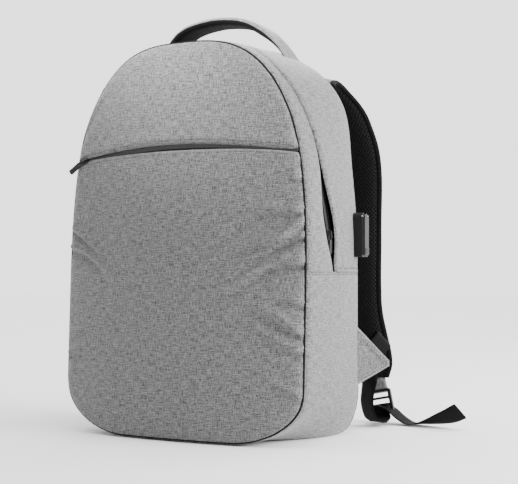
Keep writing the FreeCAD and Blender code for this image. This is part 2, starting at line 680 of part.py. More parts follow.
def charging_port():
    """A housing on the side near the back, a hinged cover, and the socket inside it."""
    wide, tall = "dims.port_wide", "dims.port_tall"
    side = "dims.width/2 + 0.2"
    shell_body = prism("port_shell", "YZ_Plane",
                       rectangle(f"dims.port_y - {wide}/2", "dims.port_low",
                                 f"dims.port_y + {wide}/2", f"dims.port_low + {tall}"),
                       "dims.port_proud - dims.cover - 0.2", side="One side")
    x_axis = Vector(1, 0, 0)
    round_edges(shell_body, "7", lambda e: e.BoundBox.ZMin > size("dims.port_low + 10") and along(e, x_axis))
    round_edges(shell_body, "2", lambda e: e.BoundBox.ZMax < size("dims.port_low + 10") and along(e, x_axis))
    shell_body.setExpression("Placement.Base.x", side)
    neck = box("port_neck", ("dims.width/2 - dims.wall - 0.2", "dims.port_y - 8", "dims.port_low + 18.2"),
               ("dims.wall + 1", "10.6", "17.6"))
    recess = box("port_recess", ("dims.width/2 + 3", "dims.port_y - 4", "dims.port_low + 14"),
                 ("30", "8", "18"))
    pin_height = size("dims.port_low + dims.port_tall - 4")
    pin_x = size("dims.width/2 + dims.port_proud - 2.4")
    pin_hole = cross_rod("port_pin_hole", 0.8, 30, pin_x, pin_height)
    knuckle_room = box("knuckle_room", (f"{pin_x} - 2.6", "dims.port_y - 4.2", f"{pin_height} - 4.6"),
                       ("20", "8.4", "20"))
    casing = cut("port_casing", fuse("port_solid", shell_body, neck),
                 fuse("port_cuts", recess, pin_hole, knuckle_room))
    sub_part(casing, "port_housing")
    sub_part(metal_socket(), "usb_socket")
    backing = box("port_plate", ("dims.width/2 - dims.wall - 2.4", "dims.port_y - 8", "dims.port_low + 12"),
                ("2.1", "10.6", "30"))
    entry = box("lead_entry", ("dims.width/2 - dims.wall - 7", "dims.port_y - 7", "dims.port_low + 15"),
                ("5", "8", "20"))
    sub_part(fuse("port_inside", backing, entry), "port_backing_plate")
    lid = prism("cover_lid", "YZ_Plane",
                rectangle("dims.port_y - 5.5", "dims.port_low + 2",
                          "dims.port_y + 5.5", f"{pin_height} - 1.5"),
                "dims.cover", side="One side")
    lid.setExpression("Placement.Base.x", "dims.width/2 + dims.port_proud - dims.cover + 0.3")
    knuckle = cross_rod("cover_knuckle", 2.1, 7.6, pin_x, pin_height)
    leaf = box("cover_leaf", (f"{pin_x}", "dims.port_y - 3.8", f"{pin_height} - 4"), ("2.1", "7.6", "4"))
    ridges = [box(f"ridge_{k}", ("dims.width/2 + dims.port_proud + 0.2", "dims.port_y - 4.5",
                                 f"dims.port_low + 4 + {2.4 * k}"), ("1.1", "9", "1.2")) for k in range(3)]
    bore = cross_rod("cover_bore", 0.85, 30, pin_x, pin_height)
    sub_part(cut("cover", fuse("cover_solid", lid, knuckle, leaf, *ridges), bore), "port_cover")
    sub_part(cross_rod("cover_pin_rod", 0.78, size("dims.port_wide - 1"), pin_x, pin_height), "cover_pin")


def metal_socket():
    """The metal socket: a rectangular tube with its tongue, open outward."""
    tube = box("socket_tube", ("dims.width/2 + 3.1", "dims.port_y - 3.5", "dims.port_low + 15.5"),
               ("10", "7", "14.4"))
    throat = box("socket_throat", ("dims.width/2 + 3.9", "dims.port_y - 3", "dims.port_low + 16"),
                 ("20", "6", "13.4"))
    tongue = box("socket_tongue", ("dims.width/2 + 3.5", "dims.port_y - 3.1", "dims.port_low + 16.5"),
                 ("8.5", "1.3", "12.4"))
    return fuse("socket", cut("socket_shell", tube, throat), tongue)


LEAD_RADIUS = 1.7


def lead():
    """The lead from the port to the power bank's pocket, and the plug on its end."""
    x_low = size("dims.width/2 - dims.wall - 4.3")
    route = [Vector(x_low, 60, 218.95), Vector(x_low, 60, 201), Vector(x_low - 1, 44, 191),
             Vector(x_low - 4, 24, 192), Vector(x_low - 8, 5, 203), Vector(x_low - 10, -10, 195),
             Vector(x_low - 10, -10, 176)]
    feature(tube_along(route, LEAD_RADIUS), "usb_lead")
    plug = Part.makeBox(12, 5, 14, Vector(x_low - 16, -12.5, 152))
    boot = Part.makeBox(15, 7.6, 9.9, Vector(x_low - 17.5, -13.8, 166))
    feature(plug.fuse(boot), "usb_plug")


def tube_along(route, radius):
    """A round lead along runs joined by tangent arcs, each as large as its two runs allow."""
    edges, at = [], route[0]
    for before, corner, after in zip(route, route[1:], route[2:]):
        first, second = corner - before, after - corner
        turn = first.getAngle(second)
        reach = 0.45 * min(first.Length, second.Length)
        start = corner - first.normalize() * reach
        end = corner + second.normalize() * reach
        middle_way = (start + end) * 0.5 - corner
        bend = reach / math.tan(turn / 2)
        distance = bend / math.cos(turn / 2) - bend
        edges.append(Part.LineSegment(at, start).toShape())
        edges.append(Part.Arc(start, corner + middle_way.normalize() * distance, end).toShape())
        at = end
    edges.append(Part.LineSegment(at, route[-1]).toShape())
    path = Part.Wire(edges)
    ring = Part.Wire(Part.Circle(route[0], (route[1] - route[0]).normalize(), radius).toShape())
    return path.makePipeShell([ring], True, True)


front_panels()
pocket_zip()
pocket_lining()
gussets()
lower_body()
back_body()
inside()
handle()
straps()
main_sliders()
pocket_slider()
charging_port()
lead()

doc.recompute()
failed = [o.Label for o in doc.Objects if "Invalid" in o.State or "Error" in o.State]
for piece in parts:
    if piece.Shape.isNull() or not piece.Shape.isValid() or not piece.Shape.Solids:
        failed.append(piece.Label)
if failed:
    raise RuntimeError("these objects failed: " + ", ".join(failed))

os.makedirs("parts", exist_ok=True)
for piece in parts:
    piece.Shape.exportStep(f"parts/{piece.Label}.step")
print(len(parts), "sub-parts")
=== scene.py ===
import bisect
import math
import bmesh
import bpy
from mathutils import Matrix, Vector, kdtree, noise


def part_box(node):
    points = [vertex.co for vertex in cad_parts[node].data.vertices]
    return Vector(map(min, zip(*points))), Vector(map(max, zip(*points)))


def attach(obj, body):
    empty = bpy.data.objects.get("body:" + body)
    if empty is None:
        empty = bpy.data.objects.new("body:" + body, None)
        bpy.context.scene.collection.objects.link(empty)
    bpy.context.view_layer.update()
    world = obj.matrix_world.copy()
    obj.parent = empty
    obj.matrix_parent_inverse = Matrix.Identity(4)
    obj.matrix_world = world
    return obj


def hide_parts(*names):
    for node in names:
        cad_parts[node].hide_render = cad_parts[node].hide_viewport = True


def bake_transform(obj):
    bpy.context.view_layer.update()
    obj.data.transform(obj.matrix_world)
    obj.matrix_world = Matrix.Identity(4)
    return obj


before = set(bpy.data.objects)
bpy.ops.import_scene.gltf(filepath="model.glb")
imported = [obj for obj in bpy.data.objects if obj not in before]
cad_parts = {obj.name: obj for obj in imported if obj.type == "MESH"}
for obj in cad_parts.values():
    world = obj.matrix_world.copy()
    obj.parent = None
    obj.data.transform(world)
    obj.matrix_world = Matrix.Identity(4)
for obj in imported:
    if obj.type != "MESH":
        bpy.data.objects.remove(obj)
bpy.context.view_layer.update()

# Driving sizes, in metres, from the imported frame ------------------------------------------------

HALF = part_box("rear_gusset")[1].x                 # half the bag's width
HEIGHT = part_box("rear_gusset")[1].z
APEX_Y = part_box("lower_front_panel")[0].y         # the front's furthest point, in its middle
BACK_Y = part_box("back_panel")[1].y
SEAM_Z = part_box("rear_gusset")[0].z               # seam between the upper gusset and side panel
CROWN = 0.015
LEAN = 0.020
CROWN_RADIUS = (HALF ** 2 + CROWN ** 2) / (2 * CROWN)
FLOOR_CLEAR = 0.0004                              # the cloth lies this far above the floor
CORNER_WIDE, CORNER_TALL = 0.082, 0.054           # the soft corner at the bottom
ARCH_START, ARCH_POWER = 0.150, 2 / 3             # the top's arch, a superellipse
SEAM_INSET = 0.001                                # the front seam stands in from the outline
ZIP_MIDDLE_Z, ZIP_SAG = 0.326, 0.011
MAIN_ZIP = ((SEAM_Z, -0.0025), (0.228, -0.0062), (0.275, -0.0165), (0.345, -0.0265), (0.380, -0.0340),
            (0.412, -0.0410), (0.470, -0.0410))
SIDES = ((1, "right"), (-1, "left"))


def lerp(a, b, share):
    return a + (b - a) * share


def spread(a, b, count):
    """Evenly spaced numbers from a to b, both included."""
    return [lerp(a, b, k / (count - 1)) for k in range(count)]


def smooth(low, high, value):
    """0 below low, 1 above high and smooth between."""
    share = min(1.0, max(0.0, (value - low) / (high - low)))
    return share * share * (3 - 2 * share)


# Camera, light and floor ----------------------------------------------------------------------------

AZIMUTH = math.radians(28)
RIGHT = Vector((math.cos(AZIMUTH), math.sin(AZIMUTH), 0))
AHEAD = Vector((-math.sin(AZIMUTH), math.cos(AZIMUTH), 0))


def camera():
    data = bpy.data.cameras.new("camera")
    data.lens = 79.3
    data.shift_y = 0.054
    data.clip_start = 0.05
    eye = bpy.data.objects.new("camera", data)
    bpy.context.scene.collection.objects.link(eye)
    eye.location = RIGHT * 0.054 - AHEAD * 1.335 + Vector((0, 0, 0.189))
    eye.rotation_mode = "QUATERNION"
    eye.rotation_quaternion = AHEAD.to_track_quat("-Z", "Y")
    bpy.context.scene.camera = eye


def lamp(name, kind, place, aim, power):
    """A light that looks at a point; its width or cone is set on the data it returns."""
    data = bpy.data.lights.new(name, kind)
    data.energy = power
    light = bpy.data.objects.new(name, data)
    bpy.context.scene.collection.objects.link(light)
    light.location = place
    light.rotation_mode = "QUATERNION"
    light.rotation_quaternion = (Vector(aim) - Vector(place)).to_track_quat("-Z", "Y")
    return data


def stage_plane(name, grey, roughness, size, place, tilt=0.0):
    """A plain sheet of the studio, which isn't part of the bag."""
    material = bpy.data.materials.new(name)
    material.use_nodes = True
    shader = material.node_tree.nodes["Principled BSDF"]
    shader.inputs["Base Color"].default_value = (grey, grey, grey, 1)
    shader.inputs["Roughness"].default_value = roughness
    bpy.ops.mesh.primitive_plane_add(size=1, location=place, rotation=(math.radians(tilt), 0, 0))
    sheet = bpy.context.object
    sheet.name = name
    sheet.scale = (*size, 1)
    sheet.data.materials.append(material)
    return sheet


def studio():
    """A pale studio: bright behind and at the right, darker in front, with a lamp on the bag's upper part."""
    world = bpy.data.worlds.new("studio")
    world.use_nodes = True
    sky = world.node_tree.nodes["Background"].inputs
    sky["Color"].default_value = (1, 1, 1, 1)
    sky["Strength"].default_value = 2.4
    bpy.context.scene.world = world
    lamp("key", "AREA", (2.0, 0.15, 0.8), (0, 0, 0.24), 75).size = 0.9
    upper = lamp("upper", "SPOT", (-0.7, -1.3, 1.3), (-0.03, -0.08, 0.505), 640)
    upper.spot_size = math.radians(11.5)
    upper.spot_blend = 1.0
    upper.shadow_soft_size = 0.10
    lamp("rim", "AREA", (0.9, 1.5, 1.0), (0.1, 0, 0.25), 6).size = 1.0
    stage_plane("floor", 0.97, 0.85, (14, 14), (0, 0, -0.0006))
    flag = stage_plane("front_flag", 0.01, 0.5, (3.2, 2.6), (-0.5, -1.75, 0.9), 90)
    flag.visible_camera = False


camera()
studio()


# Materials ------------------------------------------------------------------------------------------

class Nodes:
    """A short way to build a material's nodes."""

    def __init__(self, name):
        self.material = bpy.data.materials.new(name)
        self.material.use_nodes = True
        self.tree = self.material.node_tree
        self.shader = self.tree.nodes["Principled BSDF"]

    def link(self, source, socket):
        self.tree.links.new(source, socket)

    def mapped(self, source, prop, value):
        mapping = self.tree.nodes.new("ShaderNodeMapping")
        mapping.inputs[prop].default_value = value
        self.link(source, mapping.inputs["Vector"])
        return mapping.outputs["Vector"]

    def uv(self, scale_u=1.0, scale_v=1.0):
        """The piece's own cloth coordinates, in metres, scaled."""
        source = self.tree.nodes.new("ShaderNodeUVMap")
        source.uv_map = "cloth"
        return self.mapped(source.outputs["UV"], "Scale", (scale_u, scale_v, 1))

    def place(self, scale):
        """The piece's place in space, in metres, scaled."""
        source = self.tree.nodes.new("ShaderNodeTexCoord")
        return self.mapped(source.outputs["Object"], "Scale", (scale, scale, scale))

    def noise(self, vector, detail=2.0, roughness=0.5):
        node = self.tree.nodes.new("ShaderNodeTexNoise")
        node.inputs["Scale"].default_value = 1.0
        node.inputs["Detail"].default_value = detail
        node.inputs["Roughness"].default_value = roughness
        self.link(vector, node.inputs["Vector"])
        return node.outputs["Fac"]

    def wave(self, vector, scale, direction="X", profile="SIN"):
        node = self.tree.nodes.new("ShaderNodeTexWave")
        node.bands_direction = direction
        node.wave_profile = profile
        node.inputs["Scale"].default_value = scale
        self.link(vector, node.inputs["Vector"])
        return node.outputs["Fac"]

    def math(self, operation, a, b=None, c=None, clamp=False):
        node = self.tree.nodes.new("ShaderNodeMath")
        node.operation = operation
        node.use_clamp = clamp
        for socket, value in zip(node.inputs, (a, b, c)):
            if value is None:
                continue
            if isinstance(value, (int, float)):
                socket.default_value = value
            else:
                self.link(value, socket)
        return node.outputs[0]

    def ramp(self, factor, stops):
        node = self.tree.nodes.new("ShaderNodeValToRGB")
        ramp = node.color_ramp
        while len(ramp.elements) < len(stops):
            ramp.elements.new(0.5)
        for element, (position, grey) in zip(ramp.elements, stops):
            element.position = position
            element.color = (grey, grey, grey, 1)
        self.link(factor, node.inputs["Fac"])
        return node.outputs["Color"]

    def bump(self, height, distance, strength=1.0, normal=None):
        node = self.tree.nodes.new("ShaderNodeBump")
        node.inputs["Distance"].default_value = distance
        node.inputs["Strength"].default_value = strength
        self.link(height, node.inputs["Height"])
        if normal is not None:
            self.link(normal, node.inputs["Normal"])
        return node.outputs["Normal"]

    def finish(self, color, roughness, normal, sheen=0.0, metallic=0.0, specular=0.5):
        inputs = self.shader.inputs
        self.link(color, inputs["Base Color"])
        self.link(normal, inputs["Normal"])
        if isinstance(roughness, float):
            inputs["Roughness"].default_value = roughness
        else:
            self.link(roughness, inputs["Roughness"])
        inputs["Sheen Weight"].default_value = sheen
        inputs["Metallic"].default_value = metallic
        inputs["Specular IOR Level"].default_value = specular
        return self.material


YARN_DENSITY = 3200 / math.tau


def heather(name, dark, light):
    """Two-tone woven polyester: long slubs of light and dark yarn both ways over a fine plain weave."""
    n = Nodes(name)
    weft = n.noise(n.uv(94, 980), 2.0, 0.8)
    warp = n.noise(n.uv(1060, 121), 2.0, 0.8)
    ground = n.noise(n.uv(880, 930), 3.0, 0.8)
    slubs = n.math("MAXIMUM", weft, warp)
    shade = n.math("MINIMUM", weft, warp)
    mix = n.math("MULTIPLY_ADD", slubs, 0.36, n.math("MULTIPLY", ground, 0.38))
    mix = n.math("MULTIPLY_ADD", shade, 0.26, mix)
    weave = n.math("MULTIPLY", n.wave(n.uv(), YARN_DENSITY, "X"), n.wave(n.uv(), YARN_DENSITY, "Y"))
    middle = lerp(dark, light, 0.5)
    color = n.ramp(mix, [(0.42, dark), (0.475, lerp(dark, light, 0.28)), (0.51, middle),
                         (0.55, lerp(dark, light, 0.78)), (0.60, light)])
    fine = n.bump(weave, 0.00012, 0.5)
    normal = n.bump(mix, 0.0006, 0.45, fine)
    rough = n.math("MULTIPLY_ADD", weave, 0.08, 0.80)
    return n.finish(color, rough, normal, sheen=0.25, specular=0.25)


def plain_cloth(name, grey, pitch):
    """Plain black woven cloth with a fine weave and faint fading."""
    n = Nodes(name)
    threads = n.math("MULTIPLY", n.wave(n.uv(), 1 / pitch, "X"), n.wave(n.uv(), 1 / pitch, "Y"))
    fade = n.noise(n.uv(40, 40), 3.0)
    color = n.ramp(n.math("MULTIPLY_ADD", threads, 0.35, n.math("MULTIPLY", fade, 0.65)),
                   [(0.25, grey * 0.7), (0.75, grey * 1.5)])
    return n.finish(color, 0.78, n.bump(threads, 0.0002, 0.6), sheen=0.02, specular=0.08)


def webbing_cloth(name, grey):
    """Flat webbing: a chevron rib along its length."""
    n = Nodes(name)
    cross = n.wave(n.uv(), 620 / math.pi, "Y", "TRI")
    length = n.wave(n.uv(), 900 / math.pi)
    ribs = n.math("MULTIPLY_ADD", cross, 0.6, n.math("MULTIPLY", length, 0.4))
    fleck = n.noise(n.uv(600, 1500), 2.0)
    color = n.ramp(n.math("MULTIPLY_ADD", fleck, 0.4, n.math("MULTIPLY", ribs, 0.6)),
                   [(0.2, grey * 0.6), (0.8, grey * 1.8)])
    return n.finish(color, 0.65, n.bump(ribs, 0.0004, 0.8), specular=0.08)


def air_mesh(name, grey):
    """Three-layer mesh with small staggered oval holes."""
    n = Nodes(name)
    cells = n.tree.nodes.new("ShaderNodeTexVoronoi")
    cells.feature = "F1"
    cells.inputs["Scale"].default_value = 1.0
    cells.inputs["Randomness"].default_value = 0.12
    n.link(n.mapped(n.uv(340, 270), "Rotation", (0, 0, math.radians(45))), cells.inputs["Vector"])
    outside = n.math("MULTIPLY", n.math("SUBTRACT", cells.outputs["Distance"], 0.22), 5.0, clamp=True)
    hole = n.math("SUBTRACT", 1.0, outside, clamp=True)
    fibre = n.noise(n.uv(2500, 2500), 2.0)
    rim = n.math("MULTIPLY_ADD", fibre, 0.3, n.math("MULTIPLY", n.math("SUBTRACT", 1.0, hole), 0.7))
    color = n.ramp(rim, [(0.08, grey * 0.18), (0.45, grey), (0.9, grey * 2.2)])
    return n.finish(color, 0.75, n.bump(rim, 0.0011, 1.0), sheen=0.02, specular=0.06)


def moulded(name, grey, roughness, scale=900.0, depth=0.00012, specular=0.5):
    """Moulded plastic or rubber with a fine texture and slightly worn gloss."""
    n = Nodes(name)
    grain = n.noise(n.place(scale), 3.0)
    wear = n.noise(n.place(70), 4.0)
    color = n.ramp(wear, [(0.3, grey * 0.85), (0.75, grey * 1.25)])
    rough = n.math("MULTIPLY_ADD", wear, 0.18, roughness - 0.09)
    return n.finish(color, rough, n.bump(grain, depth, 0.7), specular=specular)


def metal(name, grey, roughness):
    n = Nodes(name)
    wear = n.noise(n.place(400), 4.0)
    color = n.ramp(wear, [(0.3, grey * 0.8), (0.8, grey * 1.2)])
    rough = n.math("MULTIPLY_ADD", wear, 0.25, roughness - 0.1)
    return n.finish(color, rough, n.bump(wear, 0.00008, 0.4), metallic=1.0)


def thread(name, grey):
    n = Nodes(name)
    twist = n.noise(n.place(2600), 2.0)
    color = n.ramp(twist, [(0.3, grey * 0.75), (0.7, grey * 1.25)])
    return n.finish(color, 0.7, n.bump(twist, 0.0001, 0.5), sheen=0.2)


GREY = heather("grey_heather", 0.020, 0.235)
LINING = plain_cloth("black_lining", 0.006, 0.0011)
BLACK_CLOTH = plain_cloth("black_cloth", 0.004, 0.0016)
BINDING = plain_cloth("black_binding", 0.004, 0.0024)
MESH = air_mesh("black_air_mesh", 0.0045)
WEBBING = webbing_cloth("black_webbing", 0.0025)
TAPE = plain_cloth("zip_tape_cloth", 0.003, 0.0012)
COIL = moulded("zip_coil_nylon", 0.010, 0.45)
PLASTIC = moulded("black_plastic_satin", 0.0051, 0.42, specular=0.3)
# The port's cover is black satin plastic; its mid grey is a painted reflection of the bright light at the
# right.
PAINTED_SHEEN_COVER = moulded("black_plastic_painted_sheen", 0.0305, 0.6, specular=0.25)
RUBBER = moulded("black_rubber_soft", 0.008, 0.6)
DARK_METAL = metal("black_lacquered_zinc", 0.06, 0.35)
STEEL = metal("nickel_plated_steel", 0.62, 0.25)
FOAM = moulded("grey_foam_sheet", 0.10, 0.9, 1500.0, 0.0004)
GREY_THREAD = thread("grey_thread", 0.26)
BLACK_THREAD = thread("black_thread", 0.012)


# Mesh helpers ---------------------------------------------------------------------------------------

def mesh_piece(name, points, faces, uvs, material, body, stands_for=()):
    """A mesh piece with its cloth coordinates, riding a body; a piece that crosses the front's fold names
    none and rides nothing.
    """
    data = bpy.data.meshes.new(name)
    data.from_pydata([tuple(p) for p in points], [], faces)
    layer = data.uv_layers.new(name="cloth")
    for loop in data.loops:
        layer.data[loop.index].uv = uvs[loop.vertex_index]
    data.materials.append(material)
    data.polygons.foreach_set("use_smooth", [True] * len(data.polygons))
    data.update()
    piece = bpy.data.objects.new(name, data)
    bpy.context.scene.collection.objects.link(piece)
    if body:
        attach(piece, body)
    if stands_for:
        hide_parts(*stands_for)
    return piece


def grid(rows, closed=False):
    """Points and faces of a grid; closed joins each row's end to its start."""
    wide = len(rows[0])
    points = [p for row in rows for p in row]
    faces = []
    for j in range(len(rows) - 1):
        for i in range(wide if closed else wide - 1):
            k = (i + 1) % wide
            faces.append((j * wide + i, j * wide + k, (j + 1) * wide + k, (j + 1) * wide + i))
    return points, faces


def path_lengths(path):
    lengths = [0.0]
    for a, b in zip(path, path[1:]):
        lengths.append(lengths[-1] + (b - a).length)
    return lengths


def at_length(lengths, want):
    """Which stretch of a path a length falls in, and how far along that stretch."""
    k = min(max(bisect.bisect_left(lengths, want) - 1, 0), len(lengths) - 2)
    return k, min(1.0, (want - lengths[k]) / max(1e-9, lengths[k + 1] - lengths[k]))


def resample(path, count):
    """The same path with evenly spaced points."""
    lengths = path_lengths(path)
    found = []
    for want in spread(0, lengths[-1], count):
        k, share = at_length(lengths, want)
        found.append(path[k].lerp(path[k + 1], share))
    return found


def thicken(piece, thickness, lined=True):
    """Gives a sheet its thickness: inward, with the lining on its hidden side, or evenly with none."""
    solid = piece.modifiers.new("thickness", "SOLIDIFY")
    solid.thickness = thickness
    solid.offset = -1 if lined else 0
    if lined:
        piece.data.materials.append(LINING)
        solid.material_offset = 1


def bend_with_flap(piece):
    """Cloth that crosses the front's fold: its place is baked into its mesh, and it does not bend."""
    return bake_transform(piece)


STITCH_SIDES = 6


def stitches(name, path, normals, body, material=None, length=0.0026, gap=0.0012,
             radius=0.00032):
    """A row of stitches: short rounded threads laid along a path, sunk a little in the cloth."""
    lengths = path_lengths(path)
    points, faces, uvs = [], [], []
    for i in range(int(lengths[-1] / (length + gap))):
        start = i * (length + gap)
        base = len(points)
        for share in (0.0, 0.18, 0.5, 0.82, 1.0):
            k, t = at_length(lengths, start + length * share)
            out = normals[k].lerp(normals[k + 1], t).normalized()
            across = (path[k + 1] - path[k]).normalized().cross(out).normalized()
            round_off = math.sin(math.pi * share)
            centre = path[k].lerp(path[k + 1], t) + out * radius * (1.1 * round_off - 0.35)
            fat = radius * (0.25 + 0.75 * round_off ** 0.5)
            for s in range(STITCH_SIDES):
                angle = math.tau * s / STITCH_SIDES
                points.append(centre + (out * math.sin(angle) + across * math.cos(angle)) * fat)
                uvs.append((s * 0.0005, start))
        rings = [range(base + j * STITCH_SIDES, base + (j + 1) * STITCH_SIDES) for j in range(5)]
        for low, high in zip(rings, rings[1:]):
            for s in range(STITCH_SIDES):
                t = (s + 1) % STITCH_SIDES
                faces.append((low[s], low[t], high[t], high[s]))
        faces += [tuple(reversed(rings[0])), tuple(rings[-1])]
    return mesh_piece(name, points, faces, uvs, material or GREY_THREAD, body)


def tube(name, path, radius, material, body, stands_for=(), sides=10, closed=False):
    """A round piece along a path, with rounded ends."""
    rows, uvs = [], []
    lengths = path_lengths(path)
    last = len(path) - 1
    side = None
    for i, p in enumerate(path):
        before = path[i - 1] if i or closed else p
        after = path[(i + 1) % len(path)] if i < last or closed else p
        along = (after - before).normalized()
        side = side or along.orthogonal().normalized()
        side = (side - along * side.dot(along)).normalized()
        up = along.cross(side)
        fat = radius if closed else radius * min(1.0, 0.35 + 8 * min(i, last - i) / len(path))
        angles = [math.tau * s / sides for s in range(sides)]
        rows.append([p + (side * math.cos(a) + up * math.sin(a)) * fat for a in angles])
        uvs += [(radius * a, lengths[i]) for a in angles]
    if closed:
        rows.append(rows[0])
        uvs += uvs[:sides]
    points, faces = grid(rows, closed=True)
    if not closed:
        faces += end_caps(len(points), sides)
    return mesh_piece(name, points, faces, uvs, material, body, stands_for)


def end_caps(count, wide):
    """The two faces that close the ends of a swept piece."""
    return [tuple(range(wide - 1, -1, -1)), tuple(range(count - wide, count))]


# The shape of the bag -------------------------------------------------------------------------------

OUTLINE_STEPS = 800
ARCH_TOP = HEIGHT - 0.005


def half_outline():
    """The bag from the front: bottom middle, round the +X corner and up to the top middle."""
    path = [Vector((lerp(0, HALF - CORNER_WIDE, k / 10), 0, FLOOR_CLEAR)) for k in range(10)]
    for angle in spread(0, math.pi / 2, 21):
        path.append(Vector((HALF - CORNER_WIDE * (1 - math.sin(angle)), 0,
                            FLOOR_CLEAR + CORNER_TALL * (1 - math.cos(angle)))))
    path += [Vector((HALF, 0, lerp(CORNER_TALL, ARCH_START, k / 8))) for k in range(1, 8)]
    for angle in spread(0, math.pi / 2, 361):
        path.append(Vector((HALF * max(0.0, math.cos(angle)) ** ARCH_POWER, 0,
                            lerp(ARCH_START, ARCH_TOP, math.sin(angle) ** ARCH_POWER))))
    return resample(path, OUTLINE_STEPS + 1)


def outward(path):
    """The outward direction at each point of the outline."""
    found = []
    for before, after in zip(path[:1] + path, path[1:] + path[-1:]):
        along = (after - before).normalized()
        found.append(Vector((along.z, 0, -along.x)))
    return found


OUTLINE = half_outline()
OUTLINE_NORMALS = outward(OUTLINE)
OUTLINE_LENGTH = path_lengths(OUTLINE)[-1]
SWELL_RIGHT = 0.0025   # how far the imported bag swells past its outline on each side
SWELL_LEFT = 0.0105


def packed_level(z):
    """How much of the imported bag's swell there is at a height: none at the floor and at the arch."""
    return smooth(0.0, 0.07, z) * (1 - smooth(0.33, 0.43, z))


def on_outline(q, off=0.0):
    """A point of the outline, moved out by off. q runs from -1 to 1: 0 is the bottom middle,
    1 and -1 are the top middle reached by the +X and the -X side."""
    at = min(abs(q), 1.0) * OUTLINE_STEPS
    i = min(OUTLINE_STEPS - 1, int(at))
    place = OUTLINE[i].lerp(OUTLINE[i + 1], at - i)
    normal = OUTLINE_NORMALS[i].lerp(OUTLINE_NORMALS[i + 1], at - i).normalized()
    side = -1 if q < 0 else 1
    swell = SWELL_RIGHT if side > 0 else SWELL_LEFT
    place = place + normal * (off + swell * packed_level(place.z))
    return Vector((place.x * side, 0, place.z)), Vector((normal.x * side, 0, normal.z))


def q_at_height(z):
    """Where the upper part of the outline reaches a height."""
    low, high = 0.2, 1.0
    for _ in range(40):
        mid = (low + high) / 2
        if on_outline(mid)[0].z < z:
            low = mid
        else:
            high = mid
    return low


def hump(value, middle, width):
    """1 at the middle, falling away smoothly on both sides of it."""
    return math.exp(-((value - middle) / width) ** 2)


def front_y(x, z):
    """The front's bulging face, leaning back toward the top."""
    swell = 0.004 * hump(z, 0.17, 0.10) + 0.003 * hump(z, 0.40, 0.04)
    return APEX_Y + x * x / (2 * CROWN_RADIUS) + LEAN * z / HEIGHT - swell * max(0, 1 - (x / HALF) ** 2)


ROUNDING = (-0.012, -0.006, 0, 0.006, 0.012)   # levels averaged to soften a line's knots


def main_zip_y(z):
    """The hidden zip's line over the side, smoothed at its knots."""
    def straight(level):
        for (z0, y0), (z1, y1) in zip(MAIN_ZIP, MAIN_ZIP[1:]):
            if level <= z1:
                return lerp(y0, y1, (level - z0) / (z1 - z0))
        return MAIN_ZIP[-1][1]
    return sum(straight(z + shift) for shift in ROUNDING) / len(ROUNDING)


def pocket_zip_z(x):
    return ZIP_MIDDLE_Z - ZIP_SAG * (x / HALF) ** 2


def coons(bottom, right, top, left, across, up):
    """A grid of points between four border paths; bottom and top run left to right, sides run up."""
    bottom, top = resample(bottom, across), resample(top, across)
    left, right = resample(left, up), resample(right, up)
    rows = []
    for v, at_left, at_right in zip(spread(0, 1, up), left, right):
        row = []
        for u, below, above in zip(spread(0, 1, across), bottom, top):
            corners = lerp(lerp(bottom[0], bottom[-1], u), lerp(top[0], top[-1], u), v)
            row.append(lerp(below, above, v) + lerp(at_left, at_right, u) - corners)
        rows.append(row)
    return rows


def edge_path(q_from, q_to, off, count=80):
    return [on_outline(q, off)[0] for q in spread(q_from, q_to, count)]


def tree_of(path):
    tree = kdtree.KDTree(len(path))
    for i, p in enumerate(path):
        tree.insert(p, i)
    tree.balance()
    return tree


Q_SEAM = q_at_height(SEAM_Z)
Q_ZIP = q_at_height(pocket_zip_z(HALF))
Q_LOW = (HALF - CORNER_WIDE + 0.055) / OUTLINE_LENGTH         # middle of a bottom corner
Q_TOP = q_at_height(0.400)
Q_CORNER = (HALF - CORNER_WIDE + 0.052) / OUTLINE_LENGTH
PANEL_EDGE = tree_of(edge_path(-1, 1, -SEAM_INSET, 900))


def zip_gap(x):
    """Half the height of the slot in which the pocket's zip lies."""
    return 0.0006 + 0.0028 * smooth(0, 0.9, 1 - abs(x + 0.01) / 0.145)


# The larger folds: the side seam each starts on and at what height, how far and how steeply it runs
# in from there, its depth and its width.
FOLDS = ((1, 0.286, 0.050, -0.16, 0.0039, 0.0040), (1, 0.262, 0.075, -0.30, 0.0060, 0.0050),
         (1, 0.243, 0.105, -0.42, 0.0072, 0.0062), (1, 0.222, 0.070, -0.20, 0.0054, 0.0046),
         (1, 0.203, 0.090, -0.34, 0.0063, 0.0055), (1, 0.150, 0.045, 0.22, 0.0039, 0.0045),
         (1, 0.128, 0.075, 0.30, 0.0054, 0.0058), (1, 0.106, 0.055, 0.46, 0.0048, 0.0050),
         (1, 0.060, 0.040, 0.10, 0.0033, 0.0040), (-1, 0.232, 0.050, -0.30, 0.0042, 0.0046),
         (-1, 0.214, 0.065, -0.42, 0.0051, 0.0052), (-1, 0.120, 0.040, 0.20, 0.0030, 0.0044),
         (-1, 0.088, 0.045, 0.34, 0.0033, 0.0046), (-1, 0.345, 0.040, 0.95, 0.0039, 0.0060))


def dent(x, y, z):
    """Smooth noise, from -1 to 1."""
    return noise.noise(Vector((x, y, z)))


